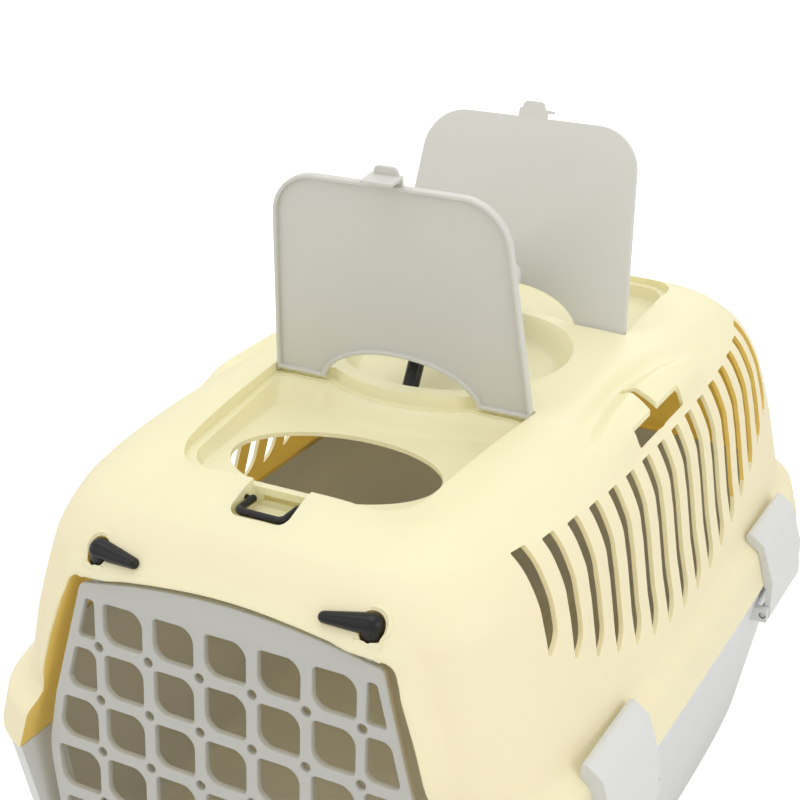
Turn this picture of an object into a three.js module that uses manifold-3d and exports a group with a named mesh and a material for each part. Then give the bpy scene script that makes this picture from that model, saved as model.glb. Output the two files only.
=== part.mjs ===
// A plastic carrier for a cat or another small pet, in millimetres.
// It stands on z = 0 with +Z up, its length along Y and its door facing -Y.
import * as THREE from 'three';
import { mergeVertices } from 'three/addons/utils/BufferGeometryUtils.js';
import Module from 'manifold-3d';

const wasm = await Module();
wasm.setup();

// Levels and walls
const roofHeight = 300;
const seamHeight = 140;
const wall = 2.6;
const gap = 0.4;
const far = 400;

// Top shell: each ring is one level, given by its drop below the roof line, its half width,
// its reach to the front and to the rear, and how square it is.
const crownRing = { drop: -2.5, half: 62, front: 55, rear: 65, square: 3 };
const roofRing = { drop: 0, half: 92, front: 120, rear: 130, square: 4.5 };
const browRing = { drop: 5, half: 106, front: 180, rear: 190, square: 5.5 };
const eaveRing = { drop: 10, half: 115, front: 203, rear: 210, square: 5.5 };
const shoulderRing = { drop: 16, half: 123, front: 216, rear: 220, square: 5.5 };
const cheekRing = { drop: 28, half: 135, front: 231.5, rear: 232, square: 5.5 };
const lipRing = { drop: 46, half: 144, front: 243.5, rear: 242, square: 5.5 };
const wallTopRing = { drop: 62, half: 147.5, front: 245, rear: 244, square: 6 };
const wallMidRing = { drop: 92, half: 152.5, front: 247, rear: 246, square: 7 };
const wallFootRing = { drop: 131, half: 161.5, front: 250.5, rear: 248, square: 6.8 };
const ledgeRing = { drop: 138, half: 171, front: 263, rear: 255.5, square: 6 };
const skirtRing = { drop: roofHeight - seamHeight, half: 177, front: 268, rear: 260.5, square: 5.8 };
const roundRings = [crownRing, roofRing, browRing, eaveRing, shoulderRing, cheekRing, lipRing, wallTopRing];
const flatRings = [wallMidRing, wallFootRing, ledgeRing, skirtRing];
const sideBow = 0.03;
const seamBow = 0.01;

// Base shell: its top follows the skirt, and it narrows towards its foot.
const seamStep = 1.5;
const baseTopRing = {
  height: seamHeight - gap,
  half: skirtRing.half - seamStep,
  front: skirtRing.front - seamStep,
  rear: skirtRing.rear - seamStep,
  square: skirtRing.square,
};
const basinNarrowing = { side: 23.3, front: 10.5, rear: 17 };
const footRound = 3.6;
const footRoundHeight = 3.5;
const footChamfer = 8.6;
const basinHeight = 12;
const basinSquare = 5;
const basinRing = {
  height: basinHeight,
  half: baseTopRing.half - basinNarrowing.side,
  front: baseTopRing.front - basinNarrowing.front,
  rear: baseTopRing.rear - basinNarrowing.rear,
  square: basinSquare,
};
const footRoundRing = {
  height: footRoundHeight,
  half: basinRing.half - footRound,
  front: basinRing.front - footRound,
  rear: basinRing.rear - footRound,
  square: basinSquare,
};
const footRing = {
  height: 0,
  half: footRoundRing.half - footChamfer,
  front: footRoundRing.front - footChamfer,
  rear: footRoundRing.rear - footChamfer,
  square: basinSquare,
};
const rimRise = 18;

// Door opening, shared by both shells
const openingTopDrop = 45;
const openingCrown = { half: 34, drop: 47.9 };
const openingArch = { half: 68, drop: 51.6 };
const openingCorner = { half: 98, drop: 54, r: 8 };
const openingUpper = { half: 108, drop: 92 };
const openingLower = { half: 117.5, drop: 130 };
const openingSeamHalf = 125;
const openingBottom = { half: 105, height: 40, r: 20 };
const collarBack = 228;

// Bowl for the hand, and the compartments under the flaps
const middle = 7;
const bowlRim = 70;
const bowlFoot = 60;
const bowlDepth = 12;
const bowlEdge = 3;
const bulge = 79.5;
const hingeReach = 69.5;
const seatBack = 3.5;
const flapSlope = 3;
const flapHingeHalf = 81;
const flapFreeHalf = 70;
const flapLength = 125;
const flapCorner = 28;
const flapThick = 4.5;
const flapPlate = 2;
const flapRim = 2.2;
const flapPlay = 1;
const ledgeWidth = 6;
const trayFrontDepth = 18;
const trayRearDepth = 20;
const trayDraft = 3;
const trayFillet = 5;
const trayCorner = 8;
const seatCorner = 1.5;
const ovalReach = 143.4;
const ovalAcross = 61;
const ovalAlong = 39;

// Flap details
const archHalf = 48.5;
const archHeight = 22.3;
const archAcrossShares = [0, 0.28, 0.52, 0.72, 0.86, 0.95];
const archUpShares = [1, 0.95, 0.8, 0.55, 0.27, 0.08];
const flapPinRadius = 1.9;
const flapPinLength = 3;
const tabHalf = 8.5;
const tabTipHalf = 6.5;
const tabReach = 10;
const snapHalf = 9.5;
const snapThick = 1.6;
const snapLength = 11;
const snapReach = 128.7;
const flapFrontOpen = 82.4;
const flapRearOpen = 73.4;

// Pockets with the strap rings
const pocketHalf = 17;
const pocketBack = 196.9;
const pocketFront = 220.8;
const pocketCorner = 6;
const pocketDepth = 20;
const pocketRimDepth = 9.5;
const slitHalf = 11.2;
const slitTop = 13.6;
const slitBottom = 17.4;
const ringPivotReach = 202.5;
const ringPivotDrop = 14;
const ringHalf = 13.2;
const ringLength = 14.6;
const ringRadius = 2.1;
const ringPinRadius = 1.4;
const ringPinReach = 19.2;

// Belt guides on the shoulders
const guideAcross = 119;
const guideDrop = 13.5;
const guideTilt = 38;
const padOffset = 48;
const padAcross = 17;
const padAlong = 43;
const padRise = 6;
const valleyAcross = 98;
const valleyDrop = 2;
const valleyTilt = 18;
const valleyHalf = 11;
const valleyAlong = 62;
const valleyDepth = 4.5;
const beltSlotAcross = 127.5;
const beltSlotHalf = 36;
const beltSlotWidth = 8.5;
const beltStemTop = 105;
const beltStemWide = 10.5;
const beltStemNarrow = 6;
const beltCutDepth = 27;

// Air slots in the sides
const slotCount = 16;
const slotPitch = 23.5;
const slotWidth = 11.3;
const slotTopDrop = 28;
const slotTopRise = 7;
const slotDeepest = 123.5;
const slotRiseFront = 52.5;
const slotRiseRear = 44.5;
const slotLean = 3.5;
const slotRisePower = 1.9;
const slotToe = 13;
const toeAcrossShares = [0.3, 0.8];
const toeUpShares = [0.08, 0.5];

// Door, its hinge and the levers
const doorLean = 3.5;
const doorThick = 4.5;
const doorTopReach = 244;
const doorTopDrop = 52;
const doorCrest = 46.8;
const doorBrow = { half: 33, drop: 49.7, r: 60 };
const doorShoulder = { half: 66, drop: 53.2, r: 60 };
const doorCorner = { half: 88, drop: 57, r: 5 };
const doorWaist = { half: 107, drop: 127, r: 60 };
const doorWidest = { half: 113, drop: 160, r: 60 };
const doorFoot = { half: 98, height: 42, r: 14 };
const doorFrame = 5.6;
const latticePitch = 31;
const latticeHole = 24.3;
const latticeTopDrop = 92;
const latticeRows = 6;
const latticeColumns = 5;
const topRowTrim = 1.6;
const smallCorner = 2;
const largeCorner = 8;
const crossingRadius = 2.7;
const narrowHoleInner = 79.6;
const narrowCornerShare = 0.4;
const pinReach = 237.4;
const pinAcross = 78.5;
const pinRadius = 2.5;
const pinPlay = 0.6;
const bossRadius = 4.6;
const bossLength = 9;
const bossTopDrop = 54.8;
const stubLength = 5;
const pinCollarRadius = 4.5;
const pinCollarDrop = 53.3;
const pinCollarThick = 1;
const knobRadius = 6;
const knobPlay = 0.9;
const knobFootDrop = 47;
const knobDrop = 40.5;
const cupRadius = 9.4;
const cupRise = 1;
const cupDrop = 46.9;
const leverLength = 27;
const leverTipRadius = 3.1;
const leverTurn = 11;
const pinTopDrop = 47.5;
const pinFootDrop = 60.5;
const lugInner = 71.5;
const lugOuter = 85.5;
const lugThick = 3;
const lugFront = 243;
const lugBack = 232;
const lugFootDrop = 53.7;

// Handle
const rodRadius = 5;
const rodPlay = 0.8;
const rodFoot = { reach: 62, drop: 27 };
const rodNeck = { reach: 62, drop: 18 };
const rodFloor = { reach: 62, drop: 10.5 };
const rodKnee = { reach: 57.4, drop: 2.3 };
const rodLeg = { reach: 50.8, drop: -8.8 };
const rodElbow = { reach: 43, drop: -23 };
const rodShoulder = { reach: 36, drop: -30 };
const rodBar = { reach: 24, drop: -31.5 };
const gripHalf = 17.5;
const gripReach = 58;
const gripBottom = 25;
const gripTop = 40;
const gripRound = 7;
const gripChannelReach = 50;
const gripChannelTop = 36.9;
const gripEndShares = [0.55, 0.86, 1];
const gripEndLength = 7;
const washerRadius = 10;
const washerThick = 1.6;
const nutRadius = 9;
const nutThick = 7;
const nutSides = 6;

// Side clips
const clipRearMiddle = 129;
const clipFrontMiddle = -145;
const clipHalf = 33;
const clipStand = 5;
const clipHookInset = 14.5;
const clipHookRise = 33.5;
const clipBend = 3.5;
const clipShoulderInset = 7.5;
const clipShoulderFall = 6.5;
const clipInsideFall = 15.5;
const clipSeamRise = 2;
const clipFall = 22.5;
const clipThick = 3.7;
const clipAxisInset = 3.4;
const clipAxisRise = 3.5;
const clipOuter = skirtRing.half + clipStand;
const clipHookAcross = skirtRing.half - clipHookInset;
const clipHookHeight = seamHeight + clipHookRise;
const clipBendAcross = clipHookAcross + clipBend;
const clipShoulder = { across: clipOuter - clipShoulderInset, height: clipHookHeight - clipShoulderFall };
const clipInsideHeight = clipHookHeight - clipInsideFall;
const clipSeamHeight = seamHeight + clipSeamRise;
const clipFootHeight = seamHeight - clipFall;
const clipInnerFoot = clipOuter - clipThick;
const clipAxisAcross = clipOuter - clipAxisInset;
const clipAxisHeight = clipFootHeight + clipAxisRise;
const clipBarrel = 3.3;
const clipPinRadius = 1.8;
const clipPinLength = 4;
const clipLugThick = 5;
const clipLugInset = 0.5;
const clipLugDepth = 22;
const clipLugFall = 1;
const clipLugRise = 8;
const clipLugOuter = clipOuter - clipLugInset;
const clipLugInner = clipOuter - clipLugDepth;
const clipLugBottom = clipFootHeight - clipLugFall;
const clipLugTop = clipFootHeight + clipLugRise;
const clipHoleMargin = 1;

// How finely the rounds are divided
const quarterSteps = 8;
const flatness = 0.05;
const arcSteps = 2;
const flapArcSteps = 4;
const leverArcSteps = 3;
const doorArcSteps = 2;
const crossingSteps = 6;
const bowlSteps = 22;
const roundSteps = 16;
const smallRoundSteps = 8;
const rodSteps = 22;
const bumpSteps = 8;

// Colours
const shellPaint = { color: 0xf6edbd, roughness: 0.42, metalness: 0 };
const greyPaint = { color: 0xc9c6bf, roughness: 0.45, metalness: 0 };
const blackPaint = { color: 0x262422, roughness: 0.4, metalness: 0 };
const steelPaint = { color: 0xb4b4b2, roughness: 0.35, metalness: 0.9 };

const radians = (degrees) => THREE.MathUtils.degToRad(degrees);
const heightOf = (drop) => roofHeight - drop;

// A closed solid from a geometry, and the other way round.
function solidOf(geometry) {
  geometry.deleteAttribute('normal');
  geometry.deleteAttribute('uv');
  const welded = mergeVertices(geometry);
  const vertProperties = new Float32Array(welded.attributes.position.array);
  const triVerts = new Uint32Array(welded.index.array);
  return new wasm.Manifold(new wasm.Mesh({ numProp: 3, vertProperties, triVerts }));
}

function geometryOf(solid) {
  const mesh = solid.simplify(flatness).getMesh();
  const indexed = new THREE.BufferGeometry();
  indexed.setAttribute('position', new THREE.BufferAttribute(mesh.vertProperties, mesh.numProp));
  indexed.setIndex(new THREE.BufferAttribute(mesh.triVerts, 1));
  const geometry = indexed.toNonIndexed();
  geometry.computeVertexNormals();
  return geometry;
}

function together(solids) {
  return solids.reduce((sum, solid) => sum.add(solid));
}

// A closed skin over loops of equal length, listed along the way they are stacked.
// Each loop runs anticlockwise when seen from the last loop's end.
function loft(loops) {
  const count = loops[0].length;
  const positions = [];
  const index = [];
  loops.forEach((loop) => loop.forEach((point) => positions.push(point.x, point.y, point.z)));
  for (let level = 0; level < loops.length - 1; level += 1) {
    for (let step = 0; step < count; step += 1) {
      const next = (step + 1) % count;
      const low = level * count;
      const high = low + count;
      index.push(low + step, low + next, high + next);
      index.push(low + step, high + next, high + step);
    }
  }
  [loops[0], loops[loops.length - 1]].forEach((loop, end) => {
    const centre = loop.reduce((sum, point) => sum.add(point), new THREE.Vector3()).divideScalar(count);
    const first = end * (loops.length - 1) * count;
    const hub = positions.length / 3;
    positions.push(centre.x, centre.y, centre.z);
    for (let step = 0; step < count; step += 1) {
      const next = (step + 1) % count;
      if (end) index.push(hub, first + step, first + next);
      else index.push(hub, first + next, first + step);
    }
  });
  const geometry = new THREE.BufferGeometry();
  geometry.setAttribute('position', new THREE.Float32BufferAttribute(positions, 3));
  geometry.setIndex(index);
  return solidOf(geometry);
}

// Points of an outline whose corners, where they give a radius r, are rounded.
function rounded(corners, steps = arcSteps) {
  const points = [];
  corners.forEach((corner, place) => {
    const here = new THREE.Vector2(corner.x, corner.y);
    if (!corner.r) {
      points.push(here);
      return;
    }
    const before = corners[(place + corners.length - 1) % corners.length];
    const after = corners[(place + 1) % corners.length];
    const back = new THREE.Vector2(before.x, before.y).sub(here).normalize();
    const ahead = new THREE.Vector2(after.x, after.y).sub(here).normalize();
    const halfAngle = Math.acos(back.dot(ahead)) / 2;
    const reach = corner.r / Math.tan(halfAngle);
    const inward = back.clone().add(ahead).normalize();
    const centre = here.clone().addScaledVector(inward, corner.r / Math.sin(halfAngle));
    const start = here.clone().addScaledVector(back, reach).sub(centre);
    const end = here.clone().addScaledVector(ahead, reach).sub(centre);
    const count = corner.steps ?? steps;
    for (let step = 0; step <= count; step += 1) {
      const spoke = start.clone().lerp(end, step / count).setLength(corner.r);
      points.push(centre.clone().add(spoke));
    }
  });
  return points;
}

// Both halves of an outline from the corners of its +x half, listed from the top down.
function mirrored(corners) {
  const left = corners.map((corner) => ({ ...corner, x: -corner.x }));
  const right = corners.filter((corner) => corner.x > 0).reverse();
  return [...left, ...right];
}

// A straight bar of an outline. Its two directions are (x, z) along Y and (y, z) along X.
const alongX = new THREE.Matrix4().makeBasis(
  new THREE.Vector3(0, 1, 0), new THREE.Vector3(0, 0, 1), new THREE.Vector3(1, 0, 0));
const alongY = new THREE.Matrix4().makeBasis(
  new THREE.Vector3(-1, 0, 0), new THREE.Vector3(0, 0, 1), new THREE.Vector3(0, 1, 0));
const alongZ = new THREE.Matrix4();

function bar(points, direction, from, to, holes = []) {
  const turned = direction === alongY;
  const place = (point) => new THREE.Vector2(turned ? -point.x : point.x, point.y);
  const outline = points.map(place);
  if (THREE.ShapeUtils.isClockWise(outline)) outline.reverse();
  const shape = new THREE.Shape(outline);
  shape.holes = holes.map((hole) => new THREE.Path(hole.map(place)));
  const geometry = new THREE.ExtrudeGeometry(shape, { depth: to - from, bevelEnabled: false });
  geometry.translate(0, 0, from);
  geometry.applyMatrix4(direction);
  return solidOf(geometry);
}

function box(minimum, maximum) {
  const size = maximum.clone().sub(minimum);
  const centre = maximum.clone().add(minimum).divideScalar(2);
  const geometry = new THREE.BoxGeometry(size.x, size.y, size.z);
  geometry.translate(centre.x, centre.y, centre.z);
  return solidOf(geometry);
}

// A round bar between two points.
function rod(from, to, radius, steps = roundSteps) {
  const line = to.clone().sub(from);
  const geometry = new THREE.CylinderGeometry(radius, radius, line.length(), steps);
  const upright = new THREE.Vector3(0, 1, 0);
  const turn = new THREE.Quaternion().setFromUnitVectors(upright, line.clone().normalize());
  geometry.applyQuaternion(turn);
  const centre = from.clone().add(to).divideScalar(2);
  geometry.translate(centre.x, centre.y, centre.z);
  return solidOf(geometry);
}

function ball(radius, steps = roundSteps) {
  return new THREE.SphereGeometry(radius, steps, steps / 2);
}

function placed(solid, turnAxis, degrees, offset) {
  const matrix = new THREE.Matrix4().makeRotationAxis(turnAxis, radians(degrees));
  matrix.setPosition(offset);
  return solid.transform(matrix.elements);
}

const xAxis = new THREE.Vector3(1, 0, 0);

// Rings of the shells
function withHeight(ring) {
  return { ...ring, height: heightOf(ring.drop), bow: ring.drop < ledgeRing.drop ? sideBow : seamBow };
}

function between(a, b, share) {
  const mix = { ...a };
  Object.keys(a).forEach((key) => {
    mix[key] = a[key] + (b[key] - a[key]) * share;
  });
  return mix;
}

// Rings moved by a distance, inward where it is positive.
function offsetRings(rings, distance) {
  return rings.map((ring, place) => {
    const above = rings[Math.max(place - 1, 0)];
    const below = rings[Math.min(place + 1, rings.length - 1)];
    const run = new THREE.Vector2(below.half - above.half, below.height - above.height).normalize();
    const sideways = Math.abs(run.y) * distance;
    return {
      ...ring,
      height: ring.height - Math.abs(run.x) * distance,
      half: ring.half - sideways,
      front: ring.front - sideways,
      rear: ring.rear - sideways,
    };
  });
}

function ringLoop(ring) {
  const bow = ring.bow ?? seamBow;
  const loop = [];
  for (let step = 0; step < 4 * quarterSteps; step += 1) {
    const quarter = Math.floor(step / quarterSteps);
    const share = (step % quarterSteps) / quarterSteps;
    const eased = share ** 2 / (share ** 2 + (1 - share) ** 2);
    const angle = (quarter + eased) * Math.PI / 2;
    const across = Math.cos(angle);
    const along = Math.sin(angle);
    const reach = along > 0 ? ring.rear : ring.front;
    const y = Math.sign(along) * Math.abs(along) ** (2 / ring.square);
    const x = Math.sign(across) * Math.abs(across) ** (2 / ring.square);
    loop.push(new THREE.Vector3(x * ring.half * (1 - bow * y * y), y * reach, ring.height));
  }
  return loop;
}

const topRings = [...roundRings, ...flatRings].map(withHeight);

function topLoft(distance) {
  const rings = offsetRings(topRings, distance);
  const last = rings[rings.length - 1];
  if (distance) rings.push({ ...last, height: seamHeight - wall });
  return loft(rings.reverse().map(ringLoop));
}

// Skirt and rim: the base's rim follows the inside of the skirt.
const skirtTop = withHeight(ledgeRing);
const skirtFoot = withHeight(skirtRing);
function rimRing(height, distance) {
  const share = (height - skirtFoot.height) / (skirtTop.height - skirtFoot.height);
  const ring = between(skirtFoot, skirtTop, share);
  return { ...ring, half: ring.half - distance, front: ring.front - distance, rear: ring.rear - distance };
}

const basinRings = [footRing, footRoundRing, basinRing, baseTopRing];
const rimOutset = wall + 2 * gap;
const rimFoot = rimRing(baseTopRing.height, rimOutset);
const rimTop = rimRing(seamHeight + rimRise, rimOutset);

function basinLoft(distance) {
  const rings = basinRings.map((ring) => {
    const shift = { half: ring.half - distance, front: ring.front - distance, rear: ring.rear - distance };
    return { ...ring, ...shift };
  });
  if (distance < 0) rings.push({ ...rings[rings.length - 1], height: seamHeight });
  return loft(rings.map(ringLoop));
}

// Door opening
function openingOutline(growth) {
  return rounded(mirrored([
    { x: 0, y: heightOf(openingTopDrop) + growth },
    { x: openingCrown.half, y: heightOf(openingCrown.drop) + growth },
    { x: openingArch.half, y: heightOf(openingArch.drop) + growth },
    { x: openingCorner.half + growth, y: heightOf(openingCorner.drop) + growth, r: openingCorner.r + growth },
    { x: openingUpper.half + growth, y: heightOf(openingUpper.drop) },
    { x: openingLower.half + growth, y: heightOf(openingLower.drop) },
    { x: openingSeamHalf + growth, y: seamHeight },
    { x: openingBottom.half + growth, y: openingBottom.height - growth, r: openingBottom.r + growth },
    { x: 0, y: openingBottom.height - growth },
  ]));
}

const openingCut = bar(openingOutline(0), alongY, -far, -collarBack + wall);
const collarBar = bar(openingOutline(wall), alongY, -far, -collarBack);

// The seat under a flap and the tray below it, in a frame of their own: x across and s away from
// the flap's hinge. side is -1 for the front one and +1 for the rear one.
function seatLoop(inset, height, slope, corner) {
  const back = seatBack - inset;
  const radius = bulge + inset;
  const sideAngle = Math.acos((hingeReach - back) / radius);
  const corners = [];
  for (let step = 0; step < arcSteps; step += 1) {
    const angle = sideAngle * step / arcSteps;
    corners.push({ x: radius * Math.sin(angle), y: radius * Math.cos(angle) - hingeReach });
  }
  corners.push({ x: radius * Math.sin(sideAngle), y: -back });
  const play = flapPlay - inset;
  corners.push({ x: flapHingeHalf + play, y: -back, r: corner });
  const round = flapCorner + play;
  corners.push({ x: flapFreeHalf + play, y: flapLength + play, r: round, steps: flapArcSteps });
  corners.push({ x: 0, y: flapLength + play });
  const tilt = Math.tan(radians(slope));
  const lifted = (point) => new THREE.Vector3(point.x, point.y, height - tilt * point.y);
  return rounded(mirrored(corners)).map(lifted);
}

function trayCut(side, depth, growth) {
  const ledge = heightOf(flapThick + gap + growth);
  const floor = heightOf(depth + growth);
  const turn = (loops) => loops.map((loop) => {
    const moved = loop.map((point) => new THREE.Vector3(
      point.x, middle + side * (hingeReach + point.y), point.z));
    return side < 0 ? moved : moved.reverse();
  });
  const sharp = seatCorner + growth;
  const seat = loft(turn([seatLoop(-growth, ledge, flapSlope, sharp), seatLoop(-growth, far, 0, sharp)]));
  const inset = ledgeWidth + flapPlay - growth;
  const tray = loft(turn([
    seatLoop(inset + trayDraft + trayFillet, floor, 0, trayCorner),
    seatLoop(inset + trayDraft + trayFillet / 4, floor + trayFillet / 4, 0, trayCorner),
    seatLoop(inset + trayDraft, floor + trayFillet, 0, trayCorner),
    seatLoop(inset, heightOf(0), 0, trayCorner),
  ]));
  return seat.add(tray);
}

function bowlCut(growth) {
  const floor = heightOf(bowlDepth + growth);
  const profile = [
    new THREE.Vector2(0, floor),
    new THREE.Vector2(bowlFoot - bowlEdge + growth, floor),
    new THREE.Vector2(bowlFoot + growth, floor + bowlEdge / 2),
    new THREE.Vector2(bowlRim - bowlEdge + growth, heightOf(0)),
    new THREE.Vector2(bowlRim + growth, heightOf(-bowlEdge)),
    new THREE.Vector2(bowlRim + growth, far),
    new THREE.Vector2(0, far),
  ];
  const geometry = new THREE.LatheGeometry(profile, bowlSteps);
  geometry.applyMatrix4(new THREE.Matrix4().makeRotationX(Math.PI / 2));
  geometry.translate(0, middle, 0);
  return solidOf(geometry);
}

function pocketCut(side, growth) {
  const back = middle + side * (pocketBack - growth);
  const front = middle + side * (pocketFront + growth);
  const half = pocketHalf + growth;
  const outline = [
    { x: -half, y: back },
    { x: -half, y: front, r: pocketCorner + growth },
    { x: half, y: front, r: pocketCorner + growth },
    { x: half, y: back },
  ];
  return bar(rounded(outline), alongZ, heightOf(pocketDepth + growth), far);
}

// The low part of the rim between a flap's seat and its pocket, and the slit for the snap.
function pocketNotch(side) {
  const from = middle + side * (hingeReach + flapLength);
  const to = middle + side * (pocketBack + gap);
  const low = heightOf(pocketRimDepth);
  const notch = box(
    new THREE.Vector3(-pocketHalf, Math.min(from, to), low),
    new THREE.Vector3(pocketHalf, Math.max(from, to), far));
  const behind = middle + side * (pocketBack - wall - gap);
  const slit = box(
    new THREE.Vector3(-slitHalf, Math.min(behind, to), heightOf(slitBottom)),
    new THREE.Vector3(slitHalf, Math.max(behind, to), heightOf(slitTop)));
  return notch.add(slit);
}

function bump(across, drop, along, radii, tilt, side) {
  const geometry = ball(1, bumpSteps);
  geometry.scale(radii.x, radii.y, radii.z);
  geometry.rotateY(side * radians(tilt));
  geometry.translate(side * across, along, heightOf(drop));
  return solidOf(geometry);
}

function guidePads(shrink) {
  const radii = new THREE.Vector3(padAcross - shrink, padAlong - shrink, padRise - shrink);
  const pads = [-1, 1].flatMap((side) => [-1, 1].map((end) => bump(
    guideAcross, guideDrop, middle + end * padOffset, radii, guideTilt, side)));
  return together(pads);
}

function guideValleys(growth) {
  const radii = new THREE.Vector3(valleyHalf + growth, valleyAlong + growth, valleyDepth + growth);
  return together([-1, 1].map((side) => bump(
    valleyAcross, valleyDrop, middle, radii, valleyTilt, side)));
}

function beltSlot(side) {
  const inner = beltSlotAcross - beltSlotWidth / 2;
  const outer = beltSlotAcross + beltSlotWidth / 2;
  const corner = beltSlotWidth / 3;
  const corners = [
    { x: side * outer, y: middle - beltSlotHalf, r: corner },
    { x: side * outer, y: middle + beltSlotHalf, r: corner },
    { x: side * inner, y: middle + beltSlotHalf, r: corner },
    { x: side * inner, y: middle + beltStemWide / 2 },
    { x: side * beltStemTop, y: middle + beltStemNarrow / 2, r: corner / 2 },
    { x: side * beltStemTop, y: middle - beltStemNarrow / 2, r: corner / 2 },
    { x: side * inner, y: middle - beltStemWide / 2 },
    { x: side * inner, y: middle - beltSlotHalf, r: corner },
  ];
  return bar(rounded(corners), alongZ, heightOf(beltCutDepth), far);
}

function airSlot(number) {
  const y = middle + (number - (slotCount - 1) / 2) * slotPitch;
  const share = (y - middle) / ((slotCount - 1) / 2 * slotPitch);
  const rise = share < 0 ? slotRiseFront : slotRiseRear;
  const bottom = heightOf(slotDeepest - rise * Math.abs(share) ** slotRisePower);
  const top = heightOf(slotTopDrop - slotTopRise * share ** 2);
  const at = (across, z) => ({
    x: y + (across - 0.5) * slotWidth - Math.tan(radians(slotLean)) * (top - z), y: z });
  const corners = [at(0, top), at(0, bottom)];
  toeAcrossShares.forEach((across, place) => corners.push(at(across, bottom + toeUpShares[place] * slotToe)));
  corners.push(at(1, bottom + slotToe), at(1, top));
  return bar(rounded(corners), alongX, -far, far);
}

// Door frame: the door leans forward from its top, and the pins and its hinge lean with it.
const lean = Math.tan(radians(doorLean));
const leanDown = new THREE.Vector3(0, -Math.sin(radians(doorLean)), -Math.cos(radians(doorLean)));
function onPin(side, drop) {
  return new THREE.Vector3(side * pinAcross, -pinReach - lean * (drop - doorTopDrop), heightOf(drop));
}

function leaned(solid) {
  return placed(solid, xAxis, -doorLean, new THREE.Vector3(0, -doorTopReach, heightOf(doorTopDrop)));
}

function topShell() {
  const outside = topLoft(0);
  const recesses = (growth) => together([
    trayCut(-1, trayFrontDepth, growth), trayCut(1, trayRearDepth, growth), bowlCut(growth),
    pocketCut(-1, growth), pocketCut(1, growth), guideValleys(growth)]);
  const inside = topLoft(wall).add(guidePads(wall)).subtract(recesses(wall));
  const skin = outside.add(guidePads(0)).subtract(recesses(0)).subtract(inside);
  const collar = collarBar.intersect(outside);
  const lugs = [-1, 1].flatMap((side) => [lugInner, lugOuter].map((across) => box(
    new THREE.Vector3(side * across - lugThick / 2, -lugFront, heightOf(lugFootDrop)),
    new THREE.Vector3(side * across + lugThick / 2, -lugBack, heightOf(openingArch.drop) + wall / 2))));
  const cups = together([-1, 1].map((side) => rod(
    onPin(side, openingArch.drop), onPin(side, cupDrop), cupRadius))).intersect(topLoft(-cupRise));
  const oval = new THREE.CylinderGeometry(1, 1, pocketDepth, bowlSteps);
  oval.rotateX(Math.PI / 2);
  oval.scale(ovalAcross, ovalAlong, 1);
  oval.translate(0, middle - ovalReach, heightOf(trayFrontDepth));
  const slots = Array.from({ length: slotCount }, (_, number) => airSlot(number));
  const pinHoles = [-1, 1].flatMap((side) => [
    rod(onPin(side, knobFootDrop), onPin(side, 0), knobRadius + knobPlay),
    rod(onPin(side, bossTopDrop), onPin(side, knobDrop), pinRadius + pinPlay, smallRoundSteps)]);
  const flapPins = [-1, 1].map((side) => {
    const y = middle + side * hingeReach;
    const reach = flapHingeHalf + flapPlay + wall + gap;
    const z = heightOf(flapThick / 2);
    return rod(
      new THREE.Vector3(-reach, y, z), new THREE.Vector3(reach, y, z),
      flapPinRadius + pinPlay, smallRoundSteps);
  });
  const ringPins = [-1, 1].map((side) => {
    const y = middle + side * ringPivotReach;
    const reach = pocketHalf + wall + gap;
    const z = heightOf(ringPivotDrop);
    return rod(
      new THREE.Vector3(-reach, y, z), new THREE.Vector3(reach, y, z),
      ringPinRadius + pinPlay, smallRoundSteps);
  });
  const rodHoles = [-1, 1].map((side) => {
    const y = middle + side * rodFoot.reach;
    return rod(
      new THREE.Vector3(0, y, heightOf(rodFoot.drop)), new THREE.Vector3(0, y, heightOf(0)),
      rodRadius + rodPlay);
  });
  const cuts = together([
    openingCut, solidOf(oval), together(slots), beltSlot(-1), beltSlot(1), pocketNotch(-1), pocketNotch(1),
    ...pinHoles, ...flapPins, ...ringPins, ...rodHoles]);
  return skin.add(collar).add(cups).subtract(openingCut).add(together(lugs)).subtract(cuts);
}

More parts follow.
